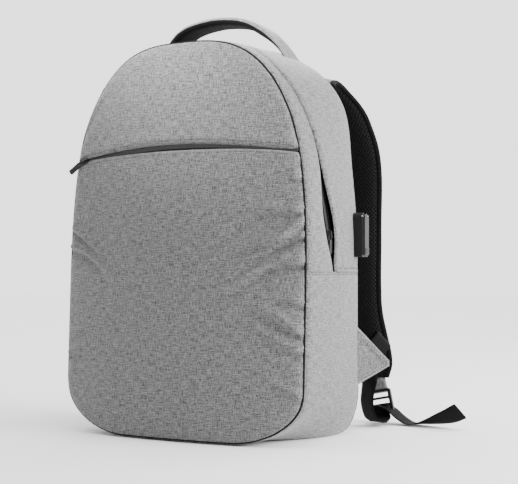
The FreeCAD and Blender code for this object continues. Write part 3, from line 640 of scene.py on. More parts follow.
def puckers(x, z):
    """Slack in the cloth: soft dents, gathers along the side seams, and folds that run in from them."""
    height = dent(x * 11, z * 8, 3.1) * 0.0018 + dent(x * 26, z * 19, 7.7) * 0.0007
    side = 1 if x > 0 else -1
    edge = HALF - abs(x)
    low = smooth(0.03, 0.06, z) * (1 - smooth(0.29, 0.31, z))
    gathers = math.sin(z * 620 + 5 * dent(2.2, z * 30, side * 3.0)) * math.exp(-edge / 0.010)
    height += gathers * low * (0.0011 if side > 0 else 0.0005)
    for fold_side, start, reach, slope, depth, width in FOLDS:
        if fold_side != side or edge > reach * 1.6:
            continue
        bow = 0.006 * math.sin(edge * 60 + start * 90)
        off = z - (start + slope * edge + bow)
        if abs(off) > width * 4:
            continue
        fade = math.exp(-(edge / reach) ** 2 * 1.6)
        height += depth * fade * (hump(off, 0, width) - 0.75 * hump(off, -width * 1.5, width))
    return height


def front_panel(name, rows, body, stands_for):
    """One front panel: bulged, tucked in at its seam and rolled in at the zip."""
    points, uvs = [], []
    for row in rows:
        for p in row:
            d = PANEL_EDGE.find(Vector((p.x, 0, p.z)))[2]
            away = abs(p.z - pocket_zip_z(p.x)) - zip_gap(p.x)
            y = front_y(p.x, p.z) + 0.0052 * math.exp(-d / 0.0019) + 0.0016 * math.exp(-d / 0.010)
            y += 0.0034 * math.exp(-max(0, away) / 0.0016) - 0.0012 * hump(away, 0.006, 0.006)
            fade = smooth(0, 0.006, d) * smooth(0, 0.008, away)
            y -= puckers(p.x, p.z) * fade
            points.append(Vector((p.x, y, p.z)))
            uvs.append((p.x, p.z))
    _, faces = grid(rows)
    piece = mesh_piece(name, points, faces, uvs, GREY, body, stands_for)
    thicken(piece, 0.0022)
    if body is None:
        bend_with_flap(piece)
    return piece


def front():
    """The pocket panel below the zip, and the upper panel above it."""
    reach = on_outline(Q_ZIP, -SEAM_INSET)[0].x
    xs = spread(-reach, reach, 81)
    zip_low = [Vector((x, 0, pocket_zip_z(x) - zip_gap(x))) for x in xs]
    zip_high = [Vector((x, 0, pocket_zip_z(x) + zip_gap(x))) for x in xs]
    gap = zip_gap(reach) / OUTLINE_LENGTH
    lower = coons(edge_path(-Q_LOW, Q_LOW, -SEAM_INSET), edge_path(Q_LOW, Q_ZIP - gap, -SEAM_INSET), zip_low,
                  edge_path(-Q_LOW, -(Q_ZIP - gap), -SEAM_INSET), 141, 151)
    front_panel("front_pocket_skin", lower, None, ("lower_front_panel", "front_fold", "pocket_panel"))
    upper = coons(zip_high, edge_path(Q_ZIP + gap, Q_TOP, -SEAM_INSET),
                  edge_path(-Q_TOP, -1, -SEAM_INSET, 60) + edge_path(1, Q_TOP, -SEAM_INSET, 60)[1:],
                  edge_path(-(Q_ZIP + gap), -Q_TOP, -SEAM_INSET), 141, 61)
    front_panel("upper_front_skin", upper, "front_flap", ("upper_front_panel",))


front()


def seam_y(q):
    """Where the front panels meet the gusset."""
    at = on_outline(q, -SEAM_INSET)[0]
    return front_y(at.x, at.z) + 0.0062


def band_offset(q, y):
    """How far the gusset stands out from the outline: slack between its seams, tucked in at both."""
    front = seam_y(q)
    share = min(1.0, max(0.0, (y - front) / (BACK_Y - front)))
    at = on_outline(q)[0]
    full = smooth(Q_LOW * 0.95, Q_LOW * 1.7, abs(q)) * (1 - 0.75 * smooth(Q_TOP - 0.05, 1, abs(q)))
    soft = dent(at.x * 9, y * 16, at.z * 9) * 0.0014 + dent(at.x * 22 + 4, y * 30, at.z * 22) * 0.0006
    slack = math.sin(math.pi * share) ** 0.7
    shoulder = 0.0115 * hump(at.z, 0.385, 0.050) * smooth(0.05, 0.95, share)
    if q < 0:
        # the swell of the left side stays in front of the main zip
        shoulder -= (SWELL_LEFT - SWELL_RIGHT) * packed_level(at.z) * smooth(0, 0.3, share)
    tuck = 0.0034 * math.exp(-(y - front) / 0.0022) + 0.0030 * math.exp(-(BACK_Y - y) / 0.004)
    lift = 0.0058 * full * slack + soft * slack * smooth(0, 0.08, at.z)
    from_corner = (abs(q) - Q_CORNER) * OUTLINE_LENGTH
    foot = 0.0205 * hump(from_corner, 0, 0.034) * smooth(0.08, 0.85, share)
    return lift + shoulder + foot - tuck * smooth(0.0, 0.02, at.z)


def gap_half(z):
    """Half the width of the slot in which the main zip hides: it gapes above the slider's stop."""
    return 0.0013 + 0.0052 * hump(z, 0.242, 0.044) * smooth(SEAM_Z, SEAM_Z + 0.03, z)


def on_band(q, y, extra=0.0):
    place, normal = on_outline(q, band_offset(q, y) + extra)
    place.y = y
    place.z = max(place.z, FLOOR_CLEAR)
    return place, normal


def lip_drop(z, away, sunk):
    """A lip of the main zip: rolled in at its edge, and sunk or proud where the slot gapes."""
    return -0.0030 * math.exp(-away / 0.0012) + sunk * hump(z, 0.240, 0.045) * math.exp(-away / 0.011)


def upper_q(q):
    """Past the top middle the outline goes on down the -X side."""
    return q if q <= 1 else q - 2


def gusset_strip(name, front, sunk, across, stands_for):
    """The cloth between the main zip and the seam in front of it or behind it, over the whole arch."""
    count = 420
    rows, uvs = [], []
    for k, q in enumerate(spread(Q_SEAM, 2 - Q_SEAM, count)):
        q = upper_q(q)
        z = on_outline(q)[0].z
        lip = main_zip_y(z) + (-gap_half(z) if front else gap_half(z))
        far = seam_y(q) if front else BACK_Y
        row = []
        for share in spread(0, 1, across):
            y = lerp(lip, far, share ** 1.6)
            extra = lip_drop(z, abs(y - lip), sunk)
            if not front:
                extra += 0.0012 * math.exp(-(z - SEAM_Z) / 0.003)
            row.append(on_band(q, y, extra)[0])
            uvs.append((y, k * OUTLINE_LENGTH * 2 * (1 - Q_SEAM) / count))
        rows.append(row)
    points, faces = grid(rows)
    if front:
        faces = [face[::-1] for face in faces]
    body = None if front else "root"
    piece = mesh_piece(name, points, faces, uvs, GREY, body, stands_for)
    thicken(piece, 0.0018)
    if front:
        bend_with_flap(piece)


def side_and_bottom():
    """The two side panels and the bottom, in one."""
    count, across = 380, 56
    rows, uvs = [], []
    for k, q in enumerate(spread(-Q_SEAM, Q_SEAM, count)):
        z = on_outline(q)[0].z
        row = []
        for angle in spread(0, math.pi, across):
            y = lerp(seam_y(q), BACK_Y, 0.5 - 0.5 * math.cos(angle))
            row.append(on_band(q, y, -0.0008 * smooth(SEAM_Z - 0.004, SEAM_Z, z))[0])
            uvs.append((y, k * OUTLINE_LENGTH * 2 * Q_SEAM / count))
        rows.append(row)
    points, faces = grid(rows)
    skin = mesh_piece("side_and_bottom_skin", points, faces, uvs, GREY, "root",
                      ("side_panel_left", "side_panel_right", "bottom_panel"))
    thicken(skin, 0.0018)


def gusset():
    """The front gusset strip, the rear gusset, and the side panels with the bottom."""
    gusset_strip("front_gusset_skin", True, -0.0045, 22, ("front_gusset", "gusset_fold", "gusset_foot"))
    gusset_strip("rear_gusset_skin", False, 0.0016, 34, ("rear_gusset",))
    side_and_bottom()


def band_line(place_y, q_from, q_to, extra=0.0, count=500):
    """A line on the gusset, with the outward direction at each point."""
    points, normals = [], []
    for q in map(upper_q, spread(q_from, q_to, count)):
        z = on_outline(q)[0].z
        place, normal = on_band(q, place_y(q, z), extra)
        points.append(place)
        normals.append(normal)
    return points, normals


def back_rim(q, off):
    """The bag's back edge, flat in its plane."""
    place, _ = on_outline(q, band_offset(q, BACK_Y) + off)
    place.z = max(place.z, FLOOR_CLEAR)
    return place


def lip_stitching():
    """The topstitching on both lips of the main zip."""
    path, out = band_line(lambda q, z: main_zip_y(z) + gap_half(z) + 0.0050, Q_SEAM, 2 - Q_SEAM, 0.0006)
    stitches("rear_lip_stitching", path, out, "root")
    path, out = band_line(lambda q, z: main_zip_y(z) - gap_half(z) - 0.0050, Q_TOP - 0.13, 2.13 - Q_TOP,
                          0.0002)
    stitches("front_lip_stitching", path, out, "front_flap")


def side_seam_stitching(side, word, label, z, extra):
    """One row of the stitched seam across a side."""
    q = side * q_at_height(z)
    ys = spread(seam_y(q) + 0.002, BACK_Y - 0.003, 61)
    if label == "upper":
        ys = [y for y in ys if y > main_zip_y(z) + 0.004]
    line = [on_band(q, y, extra) for y in ys]
    stitches(f"side_seam_stitching_{label}_{word}", [place for place, _ in line], [out for _, out in line],
             "root", material=BLACK_THREAD, length=0.0032, gap=0.0020, radius=0.00045)


def seams():
    """Topstitching on the gusset, the stitched seam across each side, the piping at the back, and painted
    shade in the front seam.
    """
    lip_stitching()
    for side, word in SIDES:
        side_seam_stitching(side, word, "upper", SEAM_Z + 0.0040, 0.0008)
        side_seam_stitching(side, word, "lower", SEAM_Z - 0.0030, -0.0002)
    round_trip = spread(-1, 1, 501)[:-1]
    ring = [back_rim(q, -0.0002) for q in round_trip]
    ring = [Vector((p.x, BACK_Y - 0.0002, max(p.z, 0.0026))) for p in ring]
    tube("back_piping", ring, 0.0021, GREY, "root", closed=True)
    # A black lining tube in the front seam's groove: painted shade where the grey cloth falls into shadow.
    ring = [on_outline(q, -SEAM_INSET - 0.0014)[0] for q in round_trip]
    ring = [Vector((p.x, front_y(p.x, p.z) + 0.0052, max(p.z, 0.0020))) for p in ring]
    bend_with_flap(tube("front_seam_painted_shade", ring, 0.0016, LINING, None, closed=True))


TOOTH_PITCH = 0.0016


def zip_teeth(name, path, outs, body, side):
    """Half of a zip's chain: small rounded teeth on one side of its line."""
    line = resample(path, int(path_lengths(path)[-1] / TOOTH_PITCH))
    tree = tree_of(path)
    shift = 0 if side > 0 else TOOTH_PITCH / 2
    points, faces, uvs = [], [], []
    for a, b in zip(line, line[1:]):
        along = (b - a).normalized()
        out = outs[tree.find(a)[1]]
        across = along.cross(out).normalized() * side
        base = len(points)
        for reach, fat in ((0.0026, 0.00058), (0.0008, 0.00058), (-0.0005, 0.00036)):
            for dx, dz in ((-1, -1), (1, -1), (1, 1), (-1, 1)):
                points.append(a + along * (shift + dx * fat) + across * reach + out * dz * fat * 1.3)
                uvs.append((reach, dx * fat))
        for low in (base, base + 4):
            for s in range(4):
                t = (s + 1) % 4
                faces.append((low + s, low + t, low + 4 + t, low + 4 + s))
        faces += [(base + 3, base + 2, base + 1, base), (base + 8, base + 9, base + 10, base + 11)]
    return mesh_piece(name, points, faces, uvs, COIL, body)


def zip_tape(name, near, far, body, stands_for):
    """A zip's woven tape between two lines."""
    rows, uvs = [], []
    lengths = path_lengths(near)
    for a, b, length in zip(near, far, lengths):
        rows.append([a.lerp(b, share) for share in spread(0, 1, 6)])
        uvs += [(share * (b - a).length, length) for share in spread(0, 1, 6)]
    points, faces = grid(rows)
    piece = mesh_piece(name, points, faces, uvs, TAPE, body, stands_for)
    thicken(piece, 0.0008, False)
    return piece


MAIN_ZIP_DEPTH = -0.0068


def main_zip():
    """The zip hidden over the bag's shoulders: two tapes with their teeth."""
    def tape_line(shift, depth):
        return band_line(lambda q, z: main_zip_y(z) + shift, Q_SEAM, 2 - Q_SEAM, depth, 700)
    for label, sign, body, stands_for in (("front", -1, None, ("main_zip_front", "main_zip_foot")),
                                          ("rear", 1, "root", ("main_zip_rear",))):
        near, _ = tape_line(sign * 0.0008, MAIN_ZIP_DEPTH)
        far, _ = tape_line(sign * 0.0100, MAIN_ZIP_DEPTH)
        tape = zip_tape(f"main_zip_tape_{label}", near, far, body, stands_for)
        chain, outs = tape_line(0, MAIN_ZIP_DEPTH + 0.0006)
        teeth = zip_teeth(f"main_zip_teeth_{label}", chain, outs, body, sign)
        if body is None:
            bend_with_flap(tape)
            bend_with_flap(teeth)


def pocket_zip():
    """The front pocket's zip: it runs from side to side in its slot."""
    xs = spread(-0.1440, 0.1405, 241)
    outs = [Vector((0, -1, 0.04)).normalized()] * len(xs)

    def line(shift, depth):
        return [Vector((x, front_y(x, pocket_zip_z(x)) + depth, pocket_zip_z(x) + shift)) for x in xs]

    for label, sign in (("upper", 1), ("lower", -1)):
        zip_tape(f"pocket_zip_tape_{label}", line(sign * 0.0009, 0.0040), line(sign * 0.0085, 0.0068),
                 "front_flap", (f"pocket_zip_{label}",))
        zip_teeth(f"pocket_zip_teeth_{label}", line(0, 0.0035), outs, "front_flap", -sign)
        path = []
        for x in xs[4:-4]:
            z = pocket_zip_z(x) + sign * (zip_gap(x) + 0.0042)
            path.append(Vector((x, front_y(x, z) - 0.0013 - puckers(x, z) * 0.12, z)))
        stitches(f"pocket_zip_stitching_{label}", path, outs[4:-4], "front_flap", material=BLACK_THREAD)


gusset()
seams()
main_zip()
pocket_zip()


def back():
    """The mesh back with its foam pads."""
    def rim_path(q_from, q_to, count=80):
        return [back_rim(q, -0.0012) for q in spread(q_from, q_to, count)]

    rows = coons(rim_path(-Q_LOW, Q_LOW), rim_path(Q_LOW, Q_TOP),
                 rim_path(-Q_TOP, -1, 60) + rim_path(1, Q_TOP, 60)[1:], rim_path(-Q_LOW, -Q_TOP), 90, 120)
    rim = tree_of(rim_path(-1, 1, 900))
    flat, faces = grid(rows)
    points = []
    for p in flat:
        inward = rim.find(p)[2]
        swell = 0.0012 * smooth(0, 0.03, inward)
        swell += 0.0010 * dent(p.x * 14, 9, p.z * 14) * smooth(0, 0.02, inward)
        points.append(Vector((p.x, BACK_Y - 0.0022 + swell, p.z)))
    skin = mesh_piece("back_skin", points, [face[::-1] for face in faces], [(p.x, p.z) for p in points], MESH,
                      "root", ("back_panel",))
    thicken(skin, 0.0020)
    for node in ("back_pad_right", "back_pad_left", "lumbar_pad"):
        pillow(node)


CHANNEL_WIDE = 0.0045


def pillow_height(u, v, half):
    """How far a pad stands out at a place on it: domed, with a sewn channel across its long middle."""
    edge = min((1 - abs(u)) * half.x, (1 - abs(v)) * half.z)
    height = (half.y * 2 + 0.0010) * smooth(-0.004, 0.011, edge)
    from_channel = v * half.z if half.z > half.x else u * half.x
    height -= 0.0042 * hump(from_channel, 0, CHANNEL_WIDE) * smooth(0.0, 0.012, edge)
    return max(0, height)


def pillow(node):
    """A foam pad under mesh: rounded in plan and domed, closed by a flat back, with a bound edge."""
    low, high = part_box(node)
    across, up = 56, 76
    middle, half = (low + high) / 2, (high - low) / 2
    rows = []
    for v in [math.sin(a) for a in spread(-math.pi / 2, math.pi / 2, up)]:
        row = []
        for u in [math.sin(a) for a in spread(-math.pi / 2, math.pi / 2, across)]:
            # a square of u, v drawn in to a rounded one
            x = middle.x + half.x * u * math.sqrt(max(0, 1 - 0.28 * v ** 6))
            z = middle.z + half.z * v * math.sqrt(max(0, 1 - 0.16 * u ** 6))
            row.append(Vector((x, BACK_Y - 0.0016 + pillow_height(u, v, half), z)))
        rows.append(row)
    points, faces = grid(rows)
    back = len(points)
    points += [Vector((p.x, BACK_Y - 0.0018, p.z)) for p in points]
    faces = [face[::-1] for face in faces] + [tuple(index + back for index in face) for face in faces]
    top = (up - 1) * across
    ring = (list(range(across)) + [j * across + across - 1 for j in range(1, up)]
            + list(range(top + across - 2, top - 1, -1)) + [j * across for j in range(up - 2, 0, -1)])
    for a, b in zip(ring, ring[1:] + ring[:1]):
        faces.append((a, b, b + back, a + back))
    uvs = [(p.x, p.z) for p in points]
    mesh_piece(node + "_soft", points, faces, uvs, MESH, "root", (node,))
    trim = [points[k] + Vector((0, 0.0012, 0)) for k in ring]
    trim = resample(trim + trim[:1], 300)[:-1]
    tube(node + "_soft_edging", trim, 0.0011, BINDING, "root", closed=True)


back()


# Straps, handle and webbing -------------------------------------------------------------------------

def curve_through(knots, count, each=16):
    """An even, smooth line through the knots."""
    knots = [Vector(k) for k in knots]
    ends = [knots[0] * 2 - knots[1]] + knots + [knots[-1] * 2 - knots[-2]]
    path = []
    for a, b, c, d in zip(ends, ends[1:], ends[2:], ends[3:]):
        curve, twist = a * 2 - b * 5 + c * 4 - d, b * 3 - a - c * 3 + d
        for t in spread(0, 1, each + 1)[:-1]:
            path.append((b * 2 + (c - a) * t + curve * t * t + twist * t ** 3) / 2)
    return resample(path + [knots[-1]], count)


def walk(start, heading, steps, pitch=0.003):
    """Points and headings of a line of runs and tangent arcs in a plane; turns in degrees."""
    place, angle = Vector(start), math.radians(heading)
    points, headings = [place.copy()], [angle]
    for kind, amount, *turn in steps:
        length = amount * abs(math.radians(turn[0])) if turn else amount
        count = max(2, int(length / pitch))
        bend = math.radians(turn[0]) / count if turn else 0
        for _ in range(count):
            angle += bend / 2
            place = place + Vector((math.cos(angle), math.sin(angle))) * (length / count)
            angle += bend / 2
            points.append(place.copy())
            headings.append(angle)
    return points, headings


def swept(name, path, wides, outs, section, materials, body, stands_for=()):
    """A strap: a closed section swept along a path. The section is a function of the place along it
    that gives (across, out, side) points; side 0 is the outer face and 1 the inner one."""
    rows, uvs, sides = [], [], []
    lengths = path_lengths(path)
    for k, (p, wide, out) in enumerate(zip(path, wides, outs)):
        ring = section(k / (len(path) - 1))
        rows.append([p + wide * a + out * h for a, h, _ in ring])
        uvs += [(a, lengths[k]) for a, _, _ in ring]
        sides = [side for _, _, side in ring]
    points, faces = grid(rows, closed=True)
    tints = [sides[face[0] % len(sides)] for face in faces] + [0, 0]
    faces += end_caps(len(points), len(sides))
    piece = mesh_piece(name, points, faces, uvs, materials[0], body, stands_for)
    for extra in materials[1:]:
        piece.data.materials.append(extra)
    piece.data.polygons.foreach_set("material_index", tints)
    piece.data.update()
    return piece


def two_faces(count):
    """Places across a strap for its section: outer face left to right, then inner face back again."""
    acrosses = spread(-1, 1, count + 1)[:-1]
    return [(face, sign, sign * across) for face, sign in ((0, 1), (1, -1)) for across in acrosses]


def flat_section(half_width, thickness, power=6, count=10, crown=0.0):
    """A flat strap's section: even faces with soft edges."""
    ring = []
    for face, sign, a in two_faces(count):
        height = sign * thickness / 2 * max(0.12, 1 - abs(a) ** power) + crown * (1 - a * a)
        ring.append((half_width * a, height, face))
    return ring


STRAP_PLAN = (   # height, middle and half-width of a shoulder strap seen from behind
    (0.470, 0.077, 0.031), (0.418, 0.077, 0.031), (0.400, 0.091, 0.031), (0.383, 0.104, 0.031),
    (0.339, 0.114, 0.031), (0.310, 0.114, 0.031), (0.250, 0.109, 0.031), (0.180, 0.108, 0.031),
    (0.140, 0.109, 0.031), (0.110, 0.117, 0.030), (0.080, 0.127, 0.028), (0.066, 0.130, 0.024),
    (0.048, 0.135, 0.018))
STRAP_START = (0.0813, 0.4055)
STRAP_TURNS = (("arc", 0.024, -110), ("arc", 0.373, -30), ("run", 0.160))


def strap_plan(z):
    """Middle and half-width of the strap at a height."""
    for (z0, m0, h0), (z1, m1, h1) in zip(STRAP_PLAN, STRAP_PLAN[1:]):
        if z >= z1:
            t = (z0 - min(z, z0)) / (z0 - z1)
            return lerp(m0, m1, t), lerp(h0, h1, t)
    return STRAP_PLAN[-1][1:]


def strap_line(side):
    """The strap's middle line with its half-widths and its outward directions."""
    path, outs, halves = [], [], []
    for p, angle in zip(*walk(STRAP_START, 50, STRAP_TURNS)):
        near = [strap_plan(p.y + shift) for shift in ROUNDING]
        middle, half = (sum(values) / len(ROUNDING) for values in zip(*near))
        path.append(Vector((side * middle, p.x, p.y)))
        halves.append(half)
        outs.append(Vector((0, -math.sin(angle), math.cos(angle))))
    return path, halves, outs


def strap_taper(share):
    """0 at the strap's lower tip, 1 a little above it."""
    return smooth(0, 0.05, 1 - share) ** 0.5


def shoulder_strap(side, word):
    """A padded strap: heather outside, mesh inside, bound edges, with its end tab."""
    path, halves, outs = strap_line(side)
    last = len(path) - 1
    wides = [Vector((side, 0, 0))] * len(path)
    body = f"strap_{word}"

    def section(share):
        end = smooth(0, 0.04, share) * smooth(0, 0.05, 1 - share)
        half = halves[min(last, round(share * last))] * (0.80 + 0.20 * strap_taper(share))
        ring = []
        for face, sign, a in two_faces(14):
            pad = max(0.0, 1 - abs(a) ** 3.2) ** 0.55
            quilt = 1 - 0.10 * hump(abs(a), 0.80, 0.06)
            h = 0.0009 + (0.0052 if face == 0 else 0.0060) * pad * quilt * (0.25 + 0.75 * end)
            ring.append((half * a, sign * h, face))
        return ring

    pad = swept(f"strap_pad_{word}", path, wides, outs, section, (GREY, MESH), body,
                (f"shoulder_strap_{word}", f"strap_mesh_{word}"))
    cord = [(0.0042 * math.cos(turn), 0.0028 * math.sin(turn), 0) for turn in spread(0, math.tau, 13)[:-1]]
    for edge, label in ((-1, "inner"), (1, "outer")):
        rim = []
        for k, (p, half) in enumerate(zip(path, halves)):
            drawn = half - 0.0006 - half * 0.20 * (1 - strap_taper(k / last))
            rim.append(p + wides[k] * edge * drawn)
        name = f"strap_binding_{word}_{label}"
        swept(name, rim, wides, outs, lambda share: cord, (BINDING,), body)
    for edge, label in ((-1, "inner"), (1, "outer")):
        row = [p + w * edge * (h - 0.009) + o * 0.0046 for p, w, h, o in zip(path, wides, halves, outs)]
        stitches(f"strap_stitching_{word}_{label}", row[4:-6], outs[4:-6], body)
    strap_tab(side, word, path[-4])


def strap_tab(side, word, top):
    """The cloth tab that joins the strap to its ladder lock."""
    lock = middle_of(f"ladder_lock_{word}")
    path = curve_through([top, middle_of(f"strap_tab_{word}"), lock + Vector((0, 0, 0.0115))], 24)
    slope = math.radians(12)
    lean = Vector((side * math.cos(slope), 0, math.sin(slope)))
    outs = [(b - a).normalized().cross(lean) for a, b in zip(path, path[1:])]
    outs.append(outs[-1])
    if outs[0].y < 0:
        outs = [-out for out in outs]
    swept(f"strap_tab_{word}_soft", path, [lean] * len(path), outs,
          lambda share: flat_section(lerp(0.0150, 0.0128, share), 0.0036), (GREY, GREY), f"strap_{word}",
          (f"strap_tab_{word}",))


def middle_of(node):
    low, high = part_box(node)
    return (low + high) / 2


HANDLE_Y = 0.035
HANDLE_KNOTS = ((-0.0870, 0.4270), (-0.0800, 0.4430), (-0.0700, 0.4610), (-0.0560, 0.4740), (-0.0360, 0.4810),
                (-0.0040, 0.4840), (0.0300, 0.4790), (0.0560, 0.4650), (0.0760, 0.4470), (0.0890, 0.4290))


def handle():
    """The grab handle: a padded strap, grey above and black beneath, sewn into the gusset at both ends."""
    path = curve_through([(x, HANDLE_Y, z) for x, z in HANDLE_KNOTS], 70)
    outs = []
    for before, after in zip(path[:1] + path, path[1:] + path[-1:]):
        along = (after - before).normalized()
        outs.append(Vector((-along.z, 0, along.x)))
    wides = [Vector((0, 1, 0))] * len(path)

    def section(share):
        half = lerp(0.0212, 0.0196, smooth(0, 0.16, min(share, 1 - share)))
        fat = lerp(0.0012, 0.0042, smooth(0.04, 0.24, min(share, 1 - share)))
        ring = []
        for face, sign, a in two_faces(14):
            height = 0.0006 + fat * max(0.0, 1 - abs(a) ** 4) ** 0.5
            lined = face == 1 and abs(a) < 0.86
            ring.append((half * a, sign * height, int(lined)))
        return ring

    strap = swept("handle_soft", path, wides, outs, section, (GREY, BLACK_CLOTH), None,
                  ("handle_strap", "handle_lining", "handle_foot_left", "handle_foot_right"))
    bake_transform(strap)
    for edge, word in ((-1, "front"), (1, "back")):
        row = [p + Vector((0, edge * 0.0150, 0)) + out * 0.0043 for p, out in zip(path, outs)]
        sewn = stitches(f"handle_stitching_{word}", row[6:-6], outs[6:-6], None)
        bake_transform(sewn)


def anchor_corners(side):
    """The cloth triangle's corners: low and high on the seam, then low and high at its blunt tip."""
    return (Vector((side * 0.1485, 0.0735, 0.053)), Vector((side * 0.1485, 0.0735, 0.126)),
            Vector((side * 0.1785, 0.1045, 0.0755)), Vector((side * 0.1785, 0.1045, 0.0830)))


def anchor_tab(side, word):
    """The cloth triangle in the side seam that holds the lower webbing."""
    base_low, base_high, tip_low, tip_high = anchor_corners(side)
    out = (base_high - base_low).cross(tip_low - base_low).normalized() * side
    path = [((base_low + base_high) / 2).lerp((tip_low + tip_high) / 2, k / 20) for k in range(21)]
    wide = Vector((0, 0, 1))

    def section(share):
        half = lerp((base_high - base_low).length / 2, (tip_high - tip_low).length / 2, share)
        return flat_section(half, 0.0042, 8, 14, 0.0008 * math.sin(math.pi * share))

    swept(f"anchor_tab_{word}_soft", path, [wide] * 21, [out] * 21, section, (GREY, GREY), "root",
          (f"anchor_tab_{word}",))
    for inset, label in ((0.004, "outer"), (0.009, "inner")):
        line = []
        for a, b in ((base_high, tip_high), (tip_high, tip_low), (tip_low, base_low)):
            line += [a.lerp(b, k / 30) for k in range(31)]
        middle = (base_low + base_high + tip_low + tip_high) / 4
        line = [middle + (p - middle) * (1 - inset / 0.026) for p in line]
        sign = 1 if out.y < 0 else -1
        stitches(f"anchor_stitching_{word}_{label}", [p + out * 0.0028 * sign for p in line],
                 [out * sign] * len(line), "root", radius=0.0005)


def webbing_strip(name, path, wide_at, stands_for, flip=1):
    """A flat strip of the 25 mm webbing along a path, leaning as wide_at(place in the path, along) says."""
    wides, outs = [], []
    for k, (before, after) in enumerate(zip(path[:1] + path, path[1:] + path[-1:])):
        along = (after - before).normalized()
        wide = wide_at(k, along)
        wides.append(wide)
        outs.append(along.cross(wide) * flip)
    return swept(name, path, wides, outs, lambda share: flat_section(0.0125, 0.0016, 10), (WEBBING, WEBBING),
                 None, (stands_for,))


LOOP_STEPS = 130
TAIL_STEPS = 70
TAIL_KNOTS = ((-0.006, 0.0200), (0.004, 0.0205), (0.016, 0.0175), (0.030, 0.0080), (0.044, 0.0018),
              (0.062, 0.0015), (0.080, 0.0026), (0.098, 0.0060), (0.112, 0.0120))


def lower_webbing(side, word):
    """The adjusting webbing's slack loop, from the side tab to the buckle."""
    lock = middle_of(f"ladder_lock_{word}")
    _, base_high, _, tip_high = anchor_corners(side)
    edge = (tip_high - base_high).normalized()
    level = Vector((edge.x, edge.y, 0)).normalized()
    leave = (Vector((0, 0, 1)) - edge * edge.z).normalized()
    behind = Vector((-level.y, level.x, 0)) * side
    root = base_high.lerp(tip_high, 0.66)
    over_the_edge = ((-0.010, 0.0016), (0.004, 0.0018), (0.0130, 0.0026), (0.0150, 0.0060), (0.0110, 0.0090),
                     (-0.012, 0.0120))
    to_the_floor = ((0.1500, 0.1130, 0.0600), (0.1450, 0.1190, 0.0300), (0.1465, 0.1270, 0.0110),
                    (0.1500, 0.1380, 0.0050), (0.1500, 0.1500, 0.0060))
    knots = [root + leave * up + behind * back for up, back in over_the_edge]
    knots += [Vector((side * x, y, z)) for x, y, z in to_the_floor]
    knots += [Vector((lock.x + side * 0.003, lock.y - 0.007, 0.0100)), lock + Vector((0, -0.002, -0.002))]
    path = curve_through(knots, LOOP_STEPS)
    flat = Vector((0.86 * side, -0.5, 0)).normalized()
    across_lock = Vector((side, 0, 0.1)).normalized()

    def lean(k, along):
        share = k / (LOOP_STEPS - 1)
        wide = edge.lerp(flat, smooth(0.30, 0.55, share)).lerp(across_lock, smooth(0.80, 1, share))
        return (wide - along * wide.dot(along)).normalized()

    loop = webbing_strip(f"lower_webbing_{word}", path, lean, f"webbing_{word}")
    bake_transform(loop)


def webbing_tail(side, word):
    """The webbing's loose end: it lies on the floor, turned on edge towards its tip."""
    lock = middle_of(f"ladder_lock_{word}")
    turn = math.radians(-10)
    ahead = Vector((math.cos(turn), math.sin(turn), 0)) if side > 0 else Vector((-1, 0.05, 0)).normalized()
    across = Vector((-ahead.y, ahead.x, 0))
    twists = [math.radians(-52) * smooth(0.42, 1, share) for share in spread(0, 1, TAIL_STEPS)]
    path = []
    for p, twist in zip(curve_through([(a, b, 0) for a, b in TAIL_KNOTS], TAIL_STEPS), twists):
        path.append(Vector((lock.x, lock.y, p.y - 0.0125 * math.sin(twist))) + ahead * p.x)

    def lean(k, along):
        return Matrix.Rotation(twists[k], 3, along) @ across

    tail = webbing_strip(f"webbing_tail_{word}_soft", path, lean, f"webbing_tail_{word}", -1)
    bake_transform(tail)


for SIDE, WORD in SIDES:
    shoulder_strap(SIDE, WORD)
    anchor_tab(SIDE, WORD)
    lower_webbing(SIDE, WORD)
    webbing_tail(SIDE, WORD)
handle()

# Inside the bag -------------------------------------------------------------------------------------

def kept_inside(p, inset):
    """The point, drawn in where the bag's arch and bottom corners are tighter than it."""
    drawn = p.copy()
    for start, wide, tall, power, sign in ((ARCH_START, HALF - inset, HEIGHT - ARCH_START - inset, 3, 1),
                                           (CORNER_TALL, CORNER_WIDE - inset, CORNER_TALL - inset, 2, -1)):
        rise = (p.z - start) * sign
        reach = abs(p.x) - (HALF - inset - wide)
        if rise <= 0 or reach <= 0:
            continue
        full = (reach / wide) ** power + (rise / tall) ** power
        if full > 1:
            shrink = full ** (-1 / power)
            drawn.x = math.copysign(HALF - inset - wide + reach * shrink, p.x)
            drawn.z = start + sign * rise * shrink
    return drawn


def cut_up(bm, low, high, cell):
    """Cut the mesh into cells along x, y and z, so that it can be wrinkled."""
    for axis in range(3):
        facing = Vector((0, 0, 0))
        facing[axis] = 1
        for level in spread(low[axis], high[axis], max(1, int((high[axis] - low[axis]) / cell)) + 1)[1:-1]:
            parts = bm.verts[:] + bm.edges[:] + bm.faces[:]
            bmesh.ops.bisect_plane(bm, geom=parts, plane_co=facing * level, plane_no=facing)


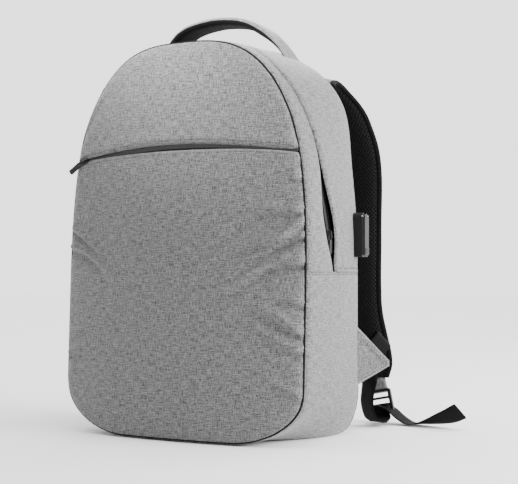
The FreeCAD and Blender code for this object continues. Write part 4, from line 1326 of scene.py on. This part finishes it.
def slack_copy(node, body, amount=0.0012):
    """A sewn cloth piece with the CAD node's cut, slack and wrinkled."""
    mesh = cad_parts[node].data.copy()
    bm = bmesh.new()
    bm.from_mesh(mesh)
    bmesh.ops.remove_doubles(bm, verts=bm.verts, dist=1e-6)
    cut_up(bm, *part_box(node), 0.009)
    for v in bm.verts:
        pull = [noise.noise(v.co * rate + Vector(shift))
                for rate, shift in ((21, (0, 0, 5)), (17, (3, 0, 0)), (19, (0, 8, 0)))]
        v.co = kept_inside(v.co + Vector(pull) * amount, 0.0052)
    uv = bm.loops.layers.uv.new("cloth")
    for face in bm.faces:
        face.smooth = True
        drop = max(range(3), key=lambda axis: abs(face.normal[axis]))
        keep = [axis for axis in range(3) if axis != drop]
        for loop in face.loops:
            loop[uv].uv = [loop.vert.co[axis] for axis in keep]
    bm.to_mesh(mesh)
    bm.free()
    mesh.materials.clear()
    mesh.materials.append(LINING)
    piece = bpy.data.objects.new(node + "_soft", mesh)
    bpy.context.scene.collection.objects.link(piece)
    bevel = piece.modifiers.new("soft_edges", "BEVEL")
    bevel.width = 0.0004
    bevel.segments = 2
    bevel.angle_limit = math.radians(50)
    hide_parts(node)
    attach(piece, body)


def inside():
    """The lining, the laptop sleeve, the power bank's pocket and the lead."""
    slack_copy("pocket_lining_lower", "root")
    slack_copy("pocket_lining_fold", "root", amount=0.0004)
    slack_copy("pocket_lining_upper", "front_flap")
    slack_copy("back_foam", "root", 0.0004)
    slack_copy("laptop_sleeve", "root", amount=0.0008)
    slack_copy("power_bank_pocket", "root", amount=0.0008)
    route = [(0.1427, 0.060, 0.21895), (0.1427, 0.060, 0.201), (0.1417, 0.044, 0.191), (0.1387, 0.024, 0.192),
             (0.1347, 0.005, 0.203), (0.1327, -0.010, 0.195), (0.1327, -0.010, 0.176)]
    path = curve_through(route, 80)
    lead = tube("usb_lead_soft", path, 0.0017, RUBBER, "root", ("usb_lead",))


inside()

FINISHES = {"heather_fabric": GREY, "lining": LINING, "air_mesh": MESH, "webbing": WEBBING, "zip_tape": TAPE,
            "black_plastic": PLASTIC, "black_rubber": RUBBER, "dark_metal": DARK_METAL, "plated_steel": STEEL,
            "foam_board": FOAM}


def dress_frame():
    """The CAD pieces that stay take the finishes of their slots."""
    for name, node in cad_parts.items():
        if node.hide_render:
            continue
        for place in node.material_slots:
            base = place.material.name.split(".")[0] if place.material else ""
            # the port's cover takes the grey that paints a reflection on its black plastic
            place.material = PAINTED_SHEEN_COVER if name == "port_cover" else FINISHES.get(base, PLASTIC)


dress_frame()
